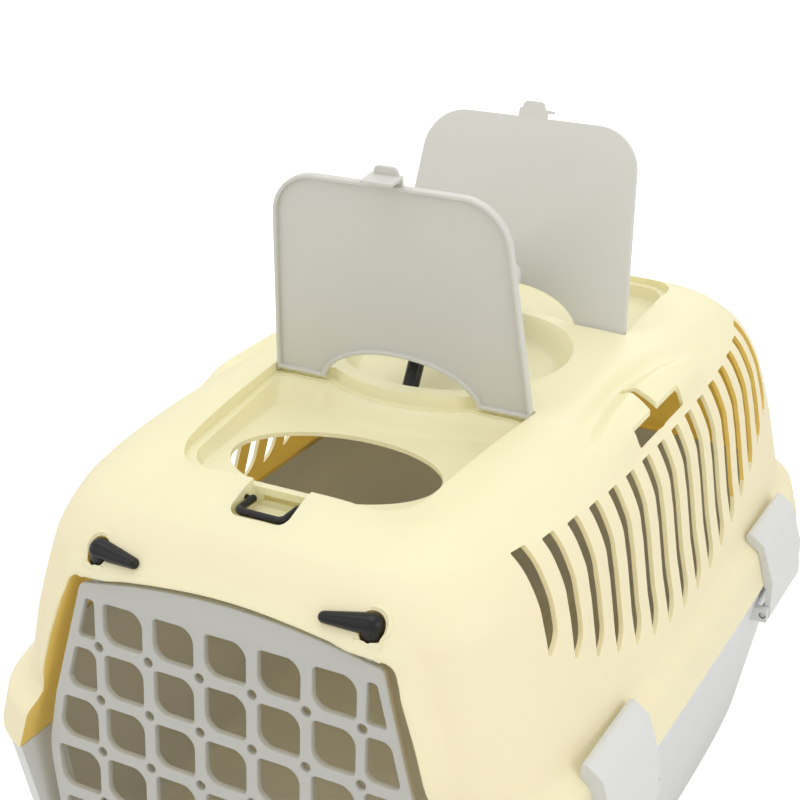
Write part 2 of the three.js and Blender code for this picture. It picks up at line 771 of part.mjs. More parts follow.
function baseShell() {
  const outside = basinLoft(0);
  const rim = loft([rimFoot, rimTop].map(ringLoop));
  const innerRings = [
    { ...footRing, height: wall }, { ...footRoundRing, height: footRoundRing.height + wall }, basinRing];
  const shrink = (ring) => ({
    ...ring, half: ring.half - wall, front: ring.front - wall, rear: ring.rear - wall });
  const rimInner = [rimFoot, rimTop].map(shrink);
  rimInner[1].height = far;
  const inside = loft([...innerRings.map(shrink), ...rimInner].map(ringLoop));
  const lugs = clipPlaces.flatMap(({ side, along }) => [-1, 1].map((end) => {
    const from = along + end * (clipHalf + gap);
    const to = from + end * clipLugThick;
    const inner = side * clipLugInner;
    const outer = side * clipLugOuter;
    const lug = box(
      new THREE.Vector3(Math.min(inner, outer), Math.min(from, to), clipLugBottom),
      new THREE.Vector3(Math.max(inner, outer), Math.max(from, to), clipLugTop));
    const hole = rod(
      clipPoint(side, from - end * clipHoleMargin), clipPoint(side, to + end * clipHoleMargin),
      clipPinRadius + pinPlay, smallRoundSteps);
    return lug.subtract(hole);
  }));
  const collar = collarBar.intersect(outside);
  const rimRelief = bar(openingOutline(wall + 2 * gap), alongY, -far, -collarBack + wall).subtract(box(
    new THREE.Vector3(-far, -far, 0), new THREE.Vector3(far, 0, baseTopRing.height)));
  const shell = outside.add(rim).add(together(lugs)).subtract(inside);
  const sillDrop = heightOf(openingBottom.height);
  const sillHole = rod(
    onPin(-1, sillDrop + stubLength), onPin(-1, sillDrop - stubLength), pinRadius + pinPlay, smallRoundSteps);
  const sillSlot = sillHole.mirror([1, 0, 0]);
  const slotBack = onPin(1, sillDrop).y;
  const slotWay = box(
    new THREE.Vector3(pinAcross - pinRadius - pinPlay, -far, openingBottom.height - stubLength),
    new THREE.Vector3(pinAcross + pinRadius + pinPlay, slotBack, openingBottom.height + gap));
  return shell.add(collar).subtract(together([openingCut, rimRelief, sillHole, sillSlot, slotWay]));
}

// The door is built upright with its front face on y = 0 and z measured from the pins' level.
function doorHalfAt(drop) {
  if (drop < doorWaist.drop) {
    const share = (drop - doorCorner.drop) / (doorWaist.drop - doorCorner.drop);
    return THREE.MathUtils.lerp(doorCorner.half, doorWaist.half, share);
  }
  if (drop < doorWidest.drop) {
    const share = (drop - doorWaist.drop) / (doorWidest.drop - doorWaist.drop);
    return THREE.MathUtils.lerp(doorWaist.half, doorWidest.half, share);
  }
  const share = (drop - doorWidest.drop) / (heightOf(doorFoot.height) - doorWidest.drop);
  return THREE.MathUtils.lerp(doorWidest.half, doorFoot.half, share);
}

function door() {
  const level = (drop) => doorTopDrop - drop;
  const outline = rounded(mirrored([
    { x: 0, y: level(doorCrest) },
    { x: doorBrow.half, y: level(doorBrow.drop), r: doorBrow.r },
    { x: doorShoulder.half, y: level(doorShoulder.drop), r: doorShoulder.r },
    { x: doorCorner.half, y: level(doorCorner.drop), r: doorCorner.r },
    { x: doorWaist.half, y: level(doorWaist.drop), r: doorWaist.r },
    { x: doorWidest.half, y: level(doorWidest.drop), r: doorWidest.r },
    { x: doorFoot.half, y: level(heightOf(doorFoot.height)), r: doorFoot.r },
    { x: 0, y: level(heightOf(doorFoot.height)) },
  ]));
  const holes = [];
  for (let row = 0; row < latticeRows; row += 1) {
    const middleDrop = latticeTopDrop + (row - 0.5) * latticePitch;
    const top = middleDrop - latticeHole / 2 + (row ? 0 : topRowTrim);
    const bottom = middleDrop + latticeHole / 2;
    for (let column = 0; column < latticeColumns; column += 1) {
      const x = (column - (latticeColumns - 1) / 2) * latticePitch;
      const left = x - latticeHole / 2;
      const right = x + latticeHole / 2;
      holes.push(rounded([
        { x: left, y: level(top), r: smallCorner, steps: 1 },
        { x: left, y: level(bottom), r: largeCorner },
        { x: right, y: level(bottom), r: smallCorner, steps: 1 },
        { x: right, y: level(top), r: largeCorner },
      ], doorArcSteps));
    }
    [-1, 1].forEach((side) => {
      const outerTop = side * (doorHalfAt(top) - doorFrame);
      const outerBottom = side * (doorHalfAt(bottom) - doorFrame);
      const inner = side * narrowHoleInner;
      const room = Math.abs(outerTop) - narrowHoleInner;
      const wide = Math.min(largeCorner, room * narrowCornerShare);
      const narrow = Math.min(smallCorner, room * narrowCornerShare);
      holes.push(rounded([
        { x: inner, y: level(top), r: side < 0 ? wide : narrow },
        { x: inner, y: level(bottom), r: side > 0 ? wide : narrow },
        { x: outerBottom, y: level(bottom), r: side < 0 ? wide : narrow },
        { x: outerTop, y: level(top), r: side > 0 ? wide : narrow },
      ], doorArcSteps));
      if (row === latticeRows - 1) return;
      for (let column = 0; column < latticeColumns / 2; column += 1) {
        const x = side * (column + 0.5) * latticePitch;
        const y = level(latticeTopDrop + row * latticePitch);
        holes.push(circle(x, y, crossingRadius, crossingSteps));
      }
    });
  }
  const panel = bar(outline, alongY, 0, doorThick, holes);
  const behind = doorTopReach - pinReach;
  const foot = level(heightOf(openingBottom.height)) + 2 * gap;
  const atPin = (side, z) => new THREE.Vector3(side * pinAcross, behind, z);
  const bosses = [-1, 1].flatMap((side) => [
    rod(atPin(side, level(bossTopDrop)), atPin(side, level(bossTopDrop + bossLength)), bossRadius),
    rod(atPin(side, foot), atPin(side, foot + bossLength), bossRadius),
    rod(atPin(side, foot - stubLength), atPin(side, foot + bossLength / 2), pinRadius, smallRoundSteps)]);
  const holeFoot = level(pinFootDrop + gap);
  const pinHoles = [-1, 1].map((side) => rod(
    atPin(side, holeFoot), atPin(side, level(0)), pinRadius + pinPlay, smallRoundSteps));
  const escape = box(
    new THREE.Vector3(pinAcross - pinRadius - pinPlay, behind, holeFoot),
    new THREE.Vector3(pinAcross + pinRadius + pinPlay, behind + far, level(0)));
  return leaned(panel.add(together(bosses)).subtract(together(pinHoles)).subtract(escape));
}

function circle(x, y, radius, steps = smallRoundSteps) {
  return Array.from({ length: steps }, (_, step) => {
    const angle = 2 * Math.PI * (step + 0.5) / steps;
    return new THREE.Vector2(x + radius * Math.cos(angle), y + radius * Math.sin(angle));
  });
}

// A lever: a knob that turns in its seat on the lip, and a tail that lies on the lip.
function lever(side) {
  const centre = onPin(side, knobDrop);
  const tailReach = leverLength - leverTipRadius;
  const taper = Math.asin((knobRadius - leverTipRadius) / tailReach);
  const profile = [];
  for (let step = 0; step <= leverArcSteps; step += 1) {
    const angle = THREE.MathUtils.lerp(-Math.PI / 2, taper, step / leverArcSteps);
    profile.push(new THREE.Vector2(knobRadius * Math.cos(angle), knobRadius * Math.sin(angle)));
  }
  for (let step = 0; step <= leverArcSteps; step += 1) {
    const angle = THREE.MathUtils.lerp(taper, Math.PI / 2, step / leverArcSteps);
    const along = tailReach + leverTipRadius * Math.sin(angle);
    profile.push(new THREE.Vector2(leverTipRadius * Math.cos(angle), along));
  }
  const tear = new THREE.LatheGeometry(profile, roundSteps);
  tear.rotateZ(side * (Math.PI / 2 + radians(leverTurn)));
  tear.translate(centre.x, centre.y, centre.z);
  const knob = rod(onPin(side, knobFootDrop - gap), onPin(side, knobDrop), knobRadius);
  return solidOf(tear).subtract(topLoft(-gap)).add(knob);
}

function doorPin(side) {
  const pin = rod(onPin(side, pinTopDrop - gap), onPin(side, pinFootDrop), pinRadius);
  const collar = rod(
    onPin(side, pinCollarDrop), onPin(side, pinCollarDrop + pinCollarThick), pinCollarRadius);
  return pin.add(collar);
}

// A flap, built flat: x across, y away from the hinge, z = 0 on the hinge's axis and its top face up.
function flap() {
  const outlineAt = (inset) => {
    const corners = archAcrossShares.map((share, place) => ({
      x: (archHalf + inset) * share, y: inset + archHeight * archUpShares[place] }));
    corners.push({ x: archHalf + inset, y: inset });
    corners.push({ x: flapHingeHalf - inset, y: inset });
    corners.push({ x: flapFreeHalf - inset, y: flapLength - inset, r: flapCorner - inset });
    corners.push({ x: 0, y: flapLength - inset });
    return rounded(mirrored(corners), flapArcSteps);
  };
  const top = flapThick / 2;
  const under = top - flapPlate;
  const plate = bar(outlineAt(0), alongZ, under, top);
  const rim = bar(outlineAt(0), alongZ, -top, top, [outlineAt(flapRim)]);
  const tab = bar(rounded([
    { x: -tabHalf, y: flapLength - tabReach },
    { x: tabHalf, y: flapLength - tabReach },
    { x: tabHalf, y: flapLength },
    { x: tabTipHalf, y: flapLength + tabReach, r: tabTipHalf / 2 },
    { x: -tabTipHalf, y: flapLength + tabReach, r: tabTipHalf / 2 },
    { x: -tabHalf, y: flapLength },
  ]), alongZ, under, top);
  const shelf = box(
    new THREE.Vector3(-snapHalf, flapLength - flapRim, under),
    new THREE.Vector3(snapHalf, snapReach + snapThick, top));
  const snap = box(
    new THREE.Vector3(-snapHalf, snapReach, top - flapPlate - snapLength),
    new THREE.Vector3(snapHalf, snapReach + snapThick, top));
  const pins = [-1, 1].map((side) => rod(
    new THREE.Vector3(side * (flapHingeHalf - flapRim), 0, 0),
    new THREE.Vector3(side * (flapHingeHalf + flapPinLength), 0, 0), flapPinRadius, smallRoundSteps));
  return together([plate, rim, tab, shelf, snap, ...pins]);
}

function placedFlap(side, open) {
  const faced = side > 0 ? flap() : flap().mirror([0, 1, 0]);
  const hinge = new THREE.Vector3(0, middle + side * hingeReach, heightOf(flapThick / 2));
  return placed(faced, xAxis, side * open, hinge);
}

function strapRing(side) {
  const y = middle + side * ringPivotReach;
  const z = heightOf(ringPivotDrop);
  const tip = y + side * ringLength;
  const corner = (across) => new THREE.Vector3(across, tip, z);
  const root = (across) => new THREE.Vector3(across, y, z);
  const joints = [root(-ringHalf), corner(-ringHalf), corner(ringHalf), root(ringHalf)].map((point) => {
    const geometry = ball(ringRadius, smallRoundSteps);
    geometry.translate(point.x, point.y, point.z);
    return solidOf(geometry);
  });
  return together([
    ...joints,
    rod(root(-ringHalf), corner(-ringHalf), ringRadius, smallRoundSteps),
    rod(corner(-ringHalf), corner(ringHalf), ringRadius, smallRoundSteps),
    rod(root(ringHalf), corner(ringHalf), ringRadius, smallRoundSteps),
    rod(root(-ringPinReach), root(-ringHalf), ringPinRadius, smallRoundSteps),
    rod(root(ringPinReach), root(ringHalf), ringPinRadius, smallRoundSteps)]);
}

const clipPlaces = [
  { name: 'clip_front_left', side: -1, along: clipFrontMiddle },
  { name: 'clip_front_right', side: 1, along: clipFrontMiddle },
  { name: 'clip_rear_left', side: -1, along: clipRearMiddle },
  { name: 'clip_rear_right', side: 1, along: clipRearMiddle },
];

function clipPoint(side, along) {
  return new THREE.Vector3(side * clipAxisAcross, along, clipAxisHeight);
}

function clip(side, along) {
  const outline = [
    { x: clipHookAcross, y: clipInsideHeight },
    { x: clipHookAcross, y: clipHookHeight, r: wall / 2 },
    { x: clipBendAcross, y: clipHookHeight },
    { x: clipShoulder.across, y: clipShoulder.height, r: wall },
    { x: clipOuter, y: clipSeamHeight },
    { x: clipOuter, y: clipFootHeight },
    { x: clipInnerFoot, y: clipFootHeight },
    { x: clipInnerFoot, y: seamHeight - wall },
    { x: clipBendAcross, y: seamHeight + wall },
  ].map((corner) => ({ ...corner, x: side * corner.x }));
  const plate = bar(rounded(outline), alongY, along - clipHalf, along + clipHalf);
  const barrel = rod(clipPoint(side, along - clipHalf), clipPoint(side, along + clipHalf), clipBarrel);
  const pinHalf = clipHalf + clipPinLength;
  const pinEnds = [-1, 1].map((end) => clipPoint(side, along + end * pinHalf));
  const pin = rod(pinEnds[0], pinEnds[1], clipPinRadius, smallRoundSteps);
  return plate.subtract(topLoft(-gap)).subtract(basinLoft(-gap)).add(barrel).add(pin);
}

function handleRod() {
  const half = [rodBar, rodShoulder, rodElbow, rodLeg, rodKnee, rodFloor, rodNeck, rodFoot];
  const point = (place, side) => new THREE.Vector3(0, middle + side * place.reach, heightOf(place.drop));
  const path = new THREE.CatmullRomCurve3([
    ...[...half].reverse().map((place) => point(place, -1)), ...half.map((place) => point(place, 1))]);
  path.curveType = 'centripetal';
  const section = new THREE.Shape(circle(0, 0, rodRadius));
  return new THREE.ExtrudeGeometry(section, { steps: rodSteps, extrudePath: path, bevelEnabled: false });
}

function handleGrip() {
  const section = (share) => {
    const half = gripHalf * (1 + share) / 2;
    const low = gripBottom + (1 - share) * gripRound;
    const high = gripTop - (1 - share) * gripRound;
    const round = gripRound * share;
    return rounded([
      { x: half, y: roofHeight + high, r: round },
      { x: -half, y: roofHeight + high, r: round },
      { x: -half, y: roofHeight + low, r: round / 2 },
      { x: half, y: roofHeight + low, r: round / 2 },
    ]);
  };
  const loops = [];
  [1, -1].forEach((side) => {
    const shares = side > 0 ? gripEndShares : [...gripEndShares].reverse();
    shares.forEach((share) => {
      const inward = gripEndLength * share ** 4;
      const y = middle + side * (gripReach - inward);
      loops.push(section(share).map((point) => new THREE.Vector3(point.x, y, point.y)));
    });
  });
  const channelHalf = rodRadius + gap;
  const channel = box(
    new THREE.Vector3(-channelHalf, middle - gripChannelReach, heightOf(0)),
    new THREE.Vector3(channelHalf, middle + gripChannelReach, roofHeight + gripChannelTop));
  return loft(loops).subtract(channel);
}

function fastener(side, outer, steps, drop, thick) {
  const y = middle + side * rodFoot.reach;
  const top = new THREE.Vector3(0, y, heightOf(drop));
  const bottom = new THREE.Vector3(0, y, heightOf(drop + thick));
  const above = new THREE.Vector3(0, y, heightOf(0));
  const below = new THREE.Vector3(0, y, heightOf(drop + far));
  return rod(bottom, top, outer, steps).subtract(rod(below, above, rodRadius + rodPlay));
}

const carrier = new THREE.Group();
carrier.name = 'pet_carrier';

function addPiece(name, geometry, paint) {
  const mesh = new THREE.Mesh(geometry, new THREE.MeshStandardMaterial(paint));
  mesh.name = name;
  carrier.add(mesh);
}

addPiece('top_shell', geometryOf(topShell()), shellPaint);
addPiece('base_shell', geometryOf(baseShell()), greyPaint);
addPiece('door', geometryOf(door()), greyPaint);
addPiece('flap_front', geometryOf(placedFlap(-1, flapFrontOpen)), greyPaint);
addPiece('flap_rear', geometryOf(placedFlap(1, flapRearOpen)), greyPaint);
addPiece('handle_grip', geometryOf(handleGrip()), greyPaint);
addPiece('handle_rod', handleRod(), blackPaint);
[-1, 1].forEach((side) => {
  const hand = side < 0 ? 'left' : 'right';
  const end = side < 0 ? 'front' : 'rear';
  const washerDrop = bowlDepth + wall + gap;
  const nutDrop = washerDrop + washerThick + gap;
  addPiece(`door_lever_${hand}`, geometryOf(lever(side)), blackPaint);
  addPiece(`door_pin_${hand}`, geometryOf(doorPin(side)), blackPaint);
  addPiece(`strap_ring_${end}`, geometryOf(strapRing(side)), blackPaint);
  const washer = fastener(side, washerRadius, roundSteps, washerDrop, washerThick);
  const nut = fastener(side, nutRadius, nutSides, nutDrop, nutThick);
  addPiece(`handle_washer_${end}`, geometryOf(washer), steelPaint);
  addPiece(`handle_nut_${end}`, geometryOf(nut), steelPaint);
});
clipPlaces.forEach(({ name, side, along }) => addPiece(name, geometryOf(clip(side, along)), greyPaint));

export default carrier;
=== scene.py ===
import math

import bmesh
import bpy
from mathutils import Matrix, Vector


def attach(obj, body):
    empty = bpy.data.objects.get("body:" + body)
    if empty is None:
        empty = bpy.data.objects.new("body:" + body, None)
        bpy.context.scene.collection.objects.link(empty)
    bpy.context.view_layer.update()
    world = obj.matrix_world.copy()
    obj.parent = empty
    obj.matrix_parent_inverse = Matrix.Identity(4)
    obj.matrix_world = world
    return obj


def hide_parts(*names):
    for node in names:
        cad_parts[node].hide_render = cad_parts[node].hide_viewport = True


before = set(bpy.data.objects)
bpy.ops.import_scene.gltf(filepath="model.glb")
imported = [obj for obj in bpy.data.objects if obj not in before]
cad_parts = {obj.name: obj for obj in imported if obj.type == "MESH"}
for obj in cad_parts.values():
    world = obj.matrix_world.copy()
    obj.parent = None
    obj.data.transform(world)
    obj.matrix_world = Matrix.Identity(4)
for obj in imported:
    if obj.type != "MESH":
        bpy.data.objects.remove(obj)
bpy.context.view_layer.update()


# Camera: it stands above and to the right of the door, where the photograph was taken from. The
# long lens, its small shift and the slight roll give the photograph's framing.
turn = math.radians(27.193)
rise = math.radians(23.185)
roll = math.radians(0.38)
back = Vector((math.sin(turn) * math.cos(rise), -math.cos(turn) * math.cos(rise), math.sin(rise)))
right = Vector((math.cos(turn), math.sin(turn), 0))
up = back.cross(right)
level_right = math.cos(roll) * right + math.sin(roll) * up
level_up = math.cos(roll) * up - math.sin(roll) * right
camera = bpy.data.objects.new("camera", bpy.data.cameras.new("camera"))
camera.matrix_world = Matrix((level_right, level_up, back)).transposed().to_4x4()
camera.location = (0.3990, -0.8062, 0.6542)
camera.data.lens = 73.18
camera.data.shift_x = -0.0346
camera.data.shift_y = -0.0007
camera.data.clip_start = 0.05
bpy.context.scene.collection.objects.link(camera)
bpy.context.scene.camera = camera
bpy.context.scene.view_settings.view_transform = "Standard"


# Studio: a wide white floor in a white surround, lit by four large soft lamps as for a catalogue
# picture. The camera sees floor and surround as white, and the floor keeps the carrier's shadow.
class Signal:
    """A shader socket that can be added, subtracted and multiplied, and that makes other nodes."""

    def __init__(self, tree, socket=None):
        self.tree = tree
        self.socket = socket

    def node(self, kind, settings, values, output=0):
        made = self.tree.nodes.new(kind)
        for name, value in settings.items():
            setattr(made, name, value)
        for name, value in values.items():
            if isinstance(value, Signal):
                self.tree.links.new(value.socket, made.inputs[name])
            else:
                made.inputs[name].default_value = value
        return Signal(self.tree, made.outputs[output] if len(made.outputs) else None)

    def maths(self, operation, first, second):
        return self.node("ShaderNodeMath", {"operation": operation}, {0: first, 1: second})

    def __add__(self, other):
        return self.maths("ADD", self, other)

    def __radd__(self, other):
        return self.maths("ADD", other, self)

    def __sub__(self, other):
        return self.maths("SUBTRACT", self, other)

    def __rsub__(self, other):
        return self.maths("SUBTRACT", other, self)

    def __mul__(self, other):
        return self.maths("MULTIPLY", self, other)

    def __rmul__(self, other):
        return self.maths("MULTIPLY", other, self)


white = (1, 1, 1, 1)
surround_light = 0.9
world = bpy.data.worlds.new("studio")
bpy.context.scene.world = world
world.use_nodes = True
world.node_tree.nodes.clear()
sky = Signal(world.node_tree)
by_camera = sky.node("ShaderNodeLightPath", {}, {}, "Is Camera Ray")
by_transmission = sky.node("ShaderNodeLightPath", {}, {}, "Is Transmission Ray")
clamped_sum = {"operation": "ADD", "use_clamp": True}
shown = sky.node("ShaderNodeMath", clamped_sum, {0: by_camera, 1: by_transmission})
strength = surround_light + shown * (1 - surround_light)
surround = sky.node("ShaderNodeBackground", {}, {"Color": white, "Strength": strength})
sky.node("ShaderNodeOutputWorld", {}, {"Surface": surround})

floor_half = 6
floor_grey = 0.86
floor_lift = 0.5
mesh = bmesh.new()
bmesh.ops.create_grid(mesh, x_segments=8, y_segments=8, size=floor_half)
floor = bpy.data.objects.new("studio_floor", bpy.data.meshes.new("studio_floor"))
mesh.to_mesh(floor.data)
mesh.free()
bpy.context.scene.collection.objects.link(floor)
floor_look = bpy.data.materials.new("studio_floor")
floor_look.use_nodes = True
floor_look.node_tree.nodes.clear()
ground = Signal(floor_look.node_tree)
seen = ground.node("ShaderNodeLightPath", {}, {}, "Is Camera Ray")
lit = ground.node("ShaderNodeBsdfDiffuse", {}, {"Color": (floor_grey, floor_grey, floor_grey, 1)})
lift = ground.node("ShaderNodeEmission", {}, {"Color": white, "Strength": seen * floor_lift})
floor_shader = ground.node("ShaderNodeAddShader", {}, {0: lit, 1: lift})
ground.node("ShaderNodeOutputMaterial", {}, {"Surface": floor_shader})
floor.data.materials.append(floor_look)


def lamp(name, place, size, power):
    aim = Vector((0, 0, 0.2))
    light = bpy.data.lights.new(name, "AREA")
    light.shape = "SQUARE"
    light.size = size
    light.energy = power
    holder = bpy.data.objects.new(name, light)
    holder.location = place
    holder.rotation_euler = (aim - Vector(place)).to_track_quat("-Z", "Y").to_euler()
    bpy.context.scene.collection.objects.link(holder)


lamp("overhead_softbox", (-0.2, -0.3, 2.2), size=1.8, power=11.6)
lamp("front_left_softbox", (-1.6, -1.9, 1.3), size=1.4, power=3)
lamp("right_softbox", (2.0, -0.5, 1.1), size=1.2, power=7.1)
lamp("rear_softbox", (-0.4, 2.2, 1.4), size=1.4, power=7)


# Roof shell: pale yellow polypropylene, 2.6 mm thick, injection moulded in one piece from the hand
# bowl down to the skirt. Its recesses, slots, belt guides, lip and lever seats are moulded in, and
# it drops over the base's rim, where the side clips hold it.
def linear(colour):
    parts = [value / 255 for value in colour]
    parts = [value / 12.92 if value <= 0.04045 else ((value + 0.055) / 1.055) ** 2.4 for value in parts]
    return (*parts, 1)


# Every look has faint cloudy shading, handling marks that dull it and a fine grain. Part of the
# light passes through the shell's thin wall. Where a glow is given, it is a painted glow.
def plastic(name, colour, roughness, grain, through=0, glow=0, warm=(255, 247, 170), ior=1.49):
    clouds = 0.03
    marks_dull = 0.12
    grain_height = 0.0004
    look = bpy.data.materials.new(name)
    look.use_nodes = True
    look.node_tree.nodes.clear()
    start = Signal(look.node_tree)
    place = start.node("ShaderNodeTexCoord", {}, {}, "Object")

    def noise(scale, detail, rough):
        values = {"Vector": place, "Scale": scale, "Detail": detail, "Roughness": rough}
        return start.node("ShaderNodeTexNoise", {}, values)

    broad = noise(9, 2, 0.5)
    fine = noise(900, 2, 0.6)
    marks = noise(55, 4, 0.65)
    shade = 1 - clouds + broad * (2 * clouds) - marks * (clouds / 2)
    tint = start.node("ShaderNodeVectorMath", {"operation": "SCALE"}, {0: linear(colour)[:3], "Scale": shade})
    dull = roughness - marks_dull / 2 + marks * marks_dull
    bumps = start.node("ShaderNodeBump", {}, {"Strength": grain, "Distance": grain_height, "Height": fine})
    shader = start.node("ShaderNodeBsdfPrincipled", {}, {
        "Base Color": tint, "Roughness": dull, "Normal": bumps, "IOR": ior,
        "Emission Color": linear(warm), "Emission Strength": glow})
    if through:
        seeping = start.node("ShaderNodeBsdfTranslucent", {}, {"Color": linear(warm), "Normal": bumps})
        shader = start.node("ShaderNodeMixShader", {}, {0: through, 1: shader, 2: seeping})
    start.node("ShaderNodeOutputMaterial", {}, {"Surface": shader})
    return look


shell_look = plastic("shell_plastic", (252, 249, 219), roughness=0.42, grain=0.12, through=0.3)
# Painted light: the inner side's deeper golden colour and its faint glow stand in for light through the wall
# and bounced inside.
inner_painted_glow_look = plastic("shell_inside_painted_glow", (236, 210, 120), roughness=0.5, grain=0.12,
                     through=0.28, glow=0.12, warm=(228, 192, 84))


def dress(name, look):
    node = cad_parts[name]
    node.data.materials.clear()
    node.data.materials.append(look)


# Pieces are shaped in millimetres. Corners are (x, y, radius), and each radius becomes an arc.
def rounded(corners, steps=8):
    points = []
    for place, (x, y, radius) in enumerate(corners):
        here = Vector((x, y))
        if not radius:
            points.append(here)
            continue
        before = Vector(corners[place - 1][:2])
        after = Vector(corners[(place + 1) % len(corners)][:2])
        to_before = (before - here).normalized()
        to_after = (after - here).normalized()
        half_angle = to_before.angle(to_after) / 2
        centre = here + (to_before + to_after).normalized() * radius / math.sin(half_angle)
        first = here + to_before * radius / math.tan(half_angle) - centre
        last = here + to_after * radius / math.tan(half_angle) - centre
        for step in range(steps + 1):
            points.append(centre + first.lerp(last, step / steps).normalized() * radius)
    return points


def both_halves(corners):
    left = [(-x, y, radius) for x, y, radius in corners]
    return left + [corner for corner in reversed(corners) if corner[0] > 0]


def full_turn(steps):
    return [2 * math.pi * step / steps for step in range(steps)]


def temporary(mesh):
    data = bpy.data.meshes.new("temporary")
    mesh.to_mesh(data)
    mesh.free()
    thing = bpy.data.objects.new("temporary", data)
    bpy.context.scene.collection.objects.link(thing)
    return thing


# A closed skin over rows of points: a grid laid on the rows, with its ends joined and capped.
def solid(rows):
    mesh = bmesh.new()
    bmesh.ops.create_grid(mesh, x_segments=len(rows[0]), y_segments=len(rows) - 1, size=1)
    mesh.verts.ensure_lookup_table()
    for level, row in enumerate(rows):
        for step in range(len(row) + 1):
            mesh.verts[level * (len(row) + 1) + step].co = row[step % len(row)]
    bmesh.ops.remove_doubles(mesh, verts=mesh.verts, dist=1e-5)
    bmesh.ops.holes_fill(mesh, edges=[edge for edge in mesh.edges if edge.is_boundary], sides=0)
    bmesh.ops.recalc_face_normals(mesh, faces=mesh.faces)
    return temporary(mesh)


# A straight bar of an outline, along x, y or z. The outline's points are (y, z), (x, z) or (x, y).
def bar(points, along, start, end):
    def place(point, depth):
        if along == "x":
            return Vector((depth, point[0], point[1]))
        if along == "y":
            return Vector((point[0], depth, point[1]))
        return Vector((point[0], point[1], depth))
    mesh = bmesh.new()
    face = mesh.faces.new([mesh.verts.new(place(point, start)) for point in points])
    grown = bmesh.ops.extrude_face_region(mesh, geom=[face])["geom"]
    moved = [item for item in grown if isinstance(item, bmesh.types.BMVert)]
    bmesh.ops.translate(mesh, vec=place((0, 0), end - start), verts=moved)
    bmesh.ops.recalc_face_normals(mesh, faces=mesh.faces)
    return mesh


def block(low, high):
    mesh = bmesh.new()
    bmesh.ops.create_cube(mesh, size=1)
    bmesh.ops.scale(mesh, vec=[b - a for a, b in zip(low, high)], verts=mesh.verts)
    bmesh.ops.translate(mesh, vec=[(a + b) / 2 for a, b in zip(low, high)], verts=mesh.verts)
    return mesh


def rod_mesh(start, end, radius, segments=32):
    start, end = Vector(start), Vector(end)
    line = end - start
    mesh = bmesh.new()
    bmesh.ops.create_cone(
        mesh, cap_ends=True, segments=segments, radius1=radius, radius2=radius, depth=line.length)
    turned = line.to_track_quat("Z", "Y").to_matrix().to_4x4()
    turned.translation = (start + end) / 2
    bmesh.ops.transform(mesh, matrix=turned, verts=mesh.verts)
    return mesh


def ball_mesh(centre, radius, around=48, up_and_down=24):
    mesh = bmesh.new()
    bmesh.ops.create_uvsphere(mesh, u_segments=around, v_segments=up_and_down, radius=radius)
    bmesh.ops.translate(mesh, vec=centre, verts=mesh.verts)
    return mesh


def carve(target, tools, operation="DIFFERENCE"):
    for tool in tools:
        if isinstance(tool, bmesh.types.BMesh):
            tool = temporary(tool)
        change = target.modifiers.new("carve", "BOOLEAN")
        change.operation = operation
        change.solver = "MANIFOLD"
        change.object = tool
        result = bpy.data.meshes.new_from_object(target.evaluated_get(bpy.context.evaluated_depsgraph_get()))
        target.modifiers.clear()
        target.data = result
        bpy.data.objects.remove(tool)
    return target


def copy_of(thing):
    twin = bpy.data.objects.new("temporary", thing.data.copy())
    bpy.context.scene.collection.objects.link(twin)
    return twin


def finish_piece(thing, name, look, sharp=32):
    millimetre = 0.001
    thing.name = name
    thing.data.name = name
    thing.data.transform(Matrix.Scale(millimetre, 4))
    thing.data.materials.clear()
    thing.data.materials.append(look)
    thing.data.shade_smooth()
    thing.data.set_sharp_from_angle(angle=math.radians(sharp))


# The roof's crest stands 300 mm high, and everything on it is placed about the handle's middle,
# 7 mm behind the carrier's. Tools that pass right through the part reach out to far.
roof = 300
middle = 7
wall = 2.6
far = 400

# Each ring of the shell gives its drop below the crest, half its width, its reach to the front and
# to the rear, how square it is, and how much its sides bow in towards its ends.
rings = [
    (-2.5, 62, 55, 65, 3, 0.03), (0, 92, 120, 130, 4.5, 0.03), (5, 106, 180, 190, 5.5, 0.03),
    (10, 115, 203, 210, 5.5, 0.03), (16, 123, 216, 220, 5.5, 0.03), (28, 135, 231.5, 232, 5.5, 0.03),
    (46, 144, 243.5, 242, 5.5, 0.03), (62, 147.5, 245, 244, 6, 0.03)]
for _ in range(3):
    split = []
    for place, ring in enumerate(rings):
        split.append(ring)
        if place + 1 == len(rings):
            break
        halfway = [(a + b) / 2 for a, b in zip(ring, rings[place + 1])]
        if 0 < place < len(rings) - 2:
            outer = [(a + b) / 2 for a, b in zip(rings[place - 1], rings[place + 2])]
            halfway = [value + (value - far_value) / 8 for value, far_value in zip(halfway, outer)]
        split.append(tuple(halfway))
    rings = split
lower_rings = [
    (62, 147.5, 245, 244, 6, 0.03), (92, 152.5, 247, 246, 7, 0.03), (129, 161, 250.3, 247.9, 6.8, 0.03),
    (132, 162.8, 252, 249.4, 6.7, 0.028), (136.6, 169, 260.5, 254.3, 6.1, 0.016),
    (138.2, 170.6, 262.7, 255.4, 6, 0.012), (140, 171.6, 263.6, 255.9, 6, 0.01),
    (160, 177, 267.4, 260.5, 5.8, 0.01)]
tall_band = 10
for first, second in zip(lower_rings, lower_rings[1:]):
    steps = 8 if second[0] - first[0] > tall_band else 2
    for step in range(1, steps + 1):
        rings.append(tuple(a + (b - a) * step / steps for a, b in zip(first, second)))

